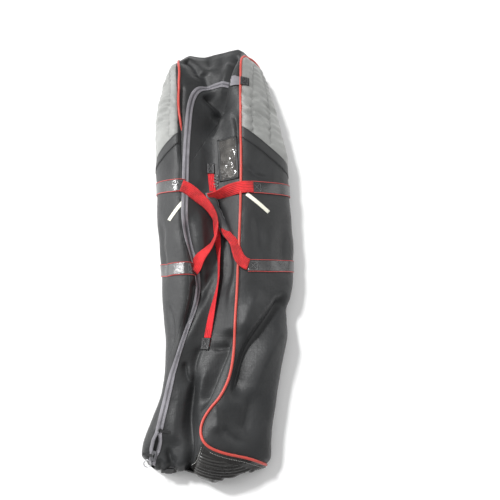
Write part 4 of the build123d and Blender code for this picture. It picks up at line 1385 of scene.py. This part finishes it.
# ------------ ring on the lower slider
turns = np.linspace(0, 2 * math.pi, 42, endpoint=True)[:-1]
ring_points = np.stack([-183 + 10.0 * np.cos(turns), -600 + 9.0 * np.sin(turns), 87 + 1.5 * np.cos(turns)
                        + 3.0 * np.sin(turns)], axis=1)
ring_points = np.concatenate([ring_points, ring_points[:2]])
chrome = sweep("lower_slider_ring", ring_points, np.tile((0.0, 0.0, 1.0), (len(ring_points), 1)),
               circle_profile(1.5, 10), METAL, caps=False)
place(chrome, "slider_lower", slot="zip_metal")

# ------------ board inside the foot
columns = np.linspace(-176, 118, 60)
levels = np.linspace(4, 60, 12)
board_x, board_z = np.meshgrid(columns, levels, indexing="ij")
board_y = foot_wall(board_x, FOOT + end_warp(board_x, np.full(board_x.shape, FOOT)), board_z) + 3.0
board_points = np.stack([board_x, board_y, board_z], axis=2)
board_normals = np.zeros_like(board_points)
board_normals[:, :, 1] = 1.0
board = sheet_grid("base_board_sheet", board_points, board_normals, 2.5, BOARD)
place(board, "case", "base_board", slot="board")

# ------------ finishes of the CAD parts that stay
FINISH = {
    "upper_slider": DARK_METAL, "lower_slider": DARK_METAL, "tab_snap": DARK_METAL, "housing_screws": STEEL,
    "upper_pull": BLACK_PLASTIC, "lower_pull": BLACK_PLASTIC,
}
for side in ("left", "right"):
    for part, material in (("wheel_housing", HOUSING), ("tyre", TYRE), ("hub", HUB), ("bearings", STEEL),
                           ("axle", STEEL)):
        FINISH[f"{side}_{part}"] = material
for node, material in FINISH.items():
    for material_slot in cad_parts[node].material_slots:
        material_slot.material = material


# ------------ stage, light and camera
def aimed(name, data, location, target=(0, 0, 0)):
    """A light or a camera at a place, looking at a target."""
    obj = bpy.data.objects.new(name, data)
    obj.location = location
    obj.rotation_euler = (Vector(target) - Vector(location)).to_track_quat("-Z", "Y").to_euler()
    bpy.context.scene.collection.objects.link(obj)
    return obj


FLOOR = 9000
# Suns: name, where the light comes from, degrees across, strength. Cards: name, place, target, size, watts.
SUNS = [("sun", (-0.62, 0.55, 1.0), 8, 2.25), ("sky", (0.15, 0.1, 1.0), 70, 0.62)]
CARDS = [("left_card", (-1.4, 0.1, 0.75), (0, 0.05, 0.1), 1.4, 20),
         ("right_card", (1.6, 0.4, 0.8), (0.1, 0.05, 0.1), 0.8, 5)]
WORLD_STRENGTH = 0.38
CAMERA_TARGET, CAMERA_TILT, CAMERA_DISTANCE = Vector((0.09, 0.0, 0.08)), math.radians(72), 1.9


def stage():
    corners = [(x * FLOOR, y * FLOOR, -0.6) for x, y in ((-1, -1), (1, -1), (1, 1), (-1, 1))]
    floor = mesh_object("floor", corners, [(0, 1, 2, 3)], None, smooth=False)
    floor.data.materials.append(Look("floor_white").finish(Base_Color=(0.93, 0.93, 0.93, 1), Roughness=0.9))
    world = bpy.data.worlds.new("studio")
    world.use_nodes = True
    world.node_tree.nodes["Background"].inputs[0].default_value = (1, 1, 1, 1)
    world.node_tree.nodes["Background"].inputs[1].default_value = WORLD_STRENGTH
    bpy.context.scene.world = world
    bpy.context.scene.view_settings.view_transform = "Standard"
    for name, location, degrees, power in SUNS:
        light = bpy.data.lights.new(name, "SUN")
        light.angle, light.energy = math.radians(degrees), power
        aimed(name, light, location)
    for name, location, target, size, power in CARDS:
        light = bpy.data.lights.new(name, "AREA")
        light.size, light.energy = size, power
        aimed(name, light, location, target)


def camera():
    data = bpy.data.cameras.new("camera")
    data.sensor_width = 36.0
    data.lens = 36.0 * 642 / 500
    forward = Vector((0, math.cos(CAMERA_TILT), -math.sin(CAMERA_TILT)))
    bpy.context.scene.camera = aimed("camera", data, CAMERA_TARGET - forward * CAMERA_DISTANCE, CAMERA_TARGET)


stage()
camera()
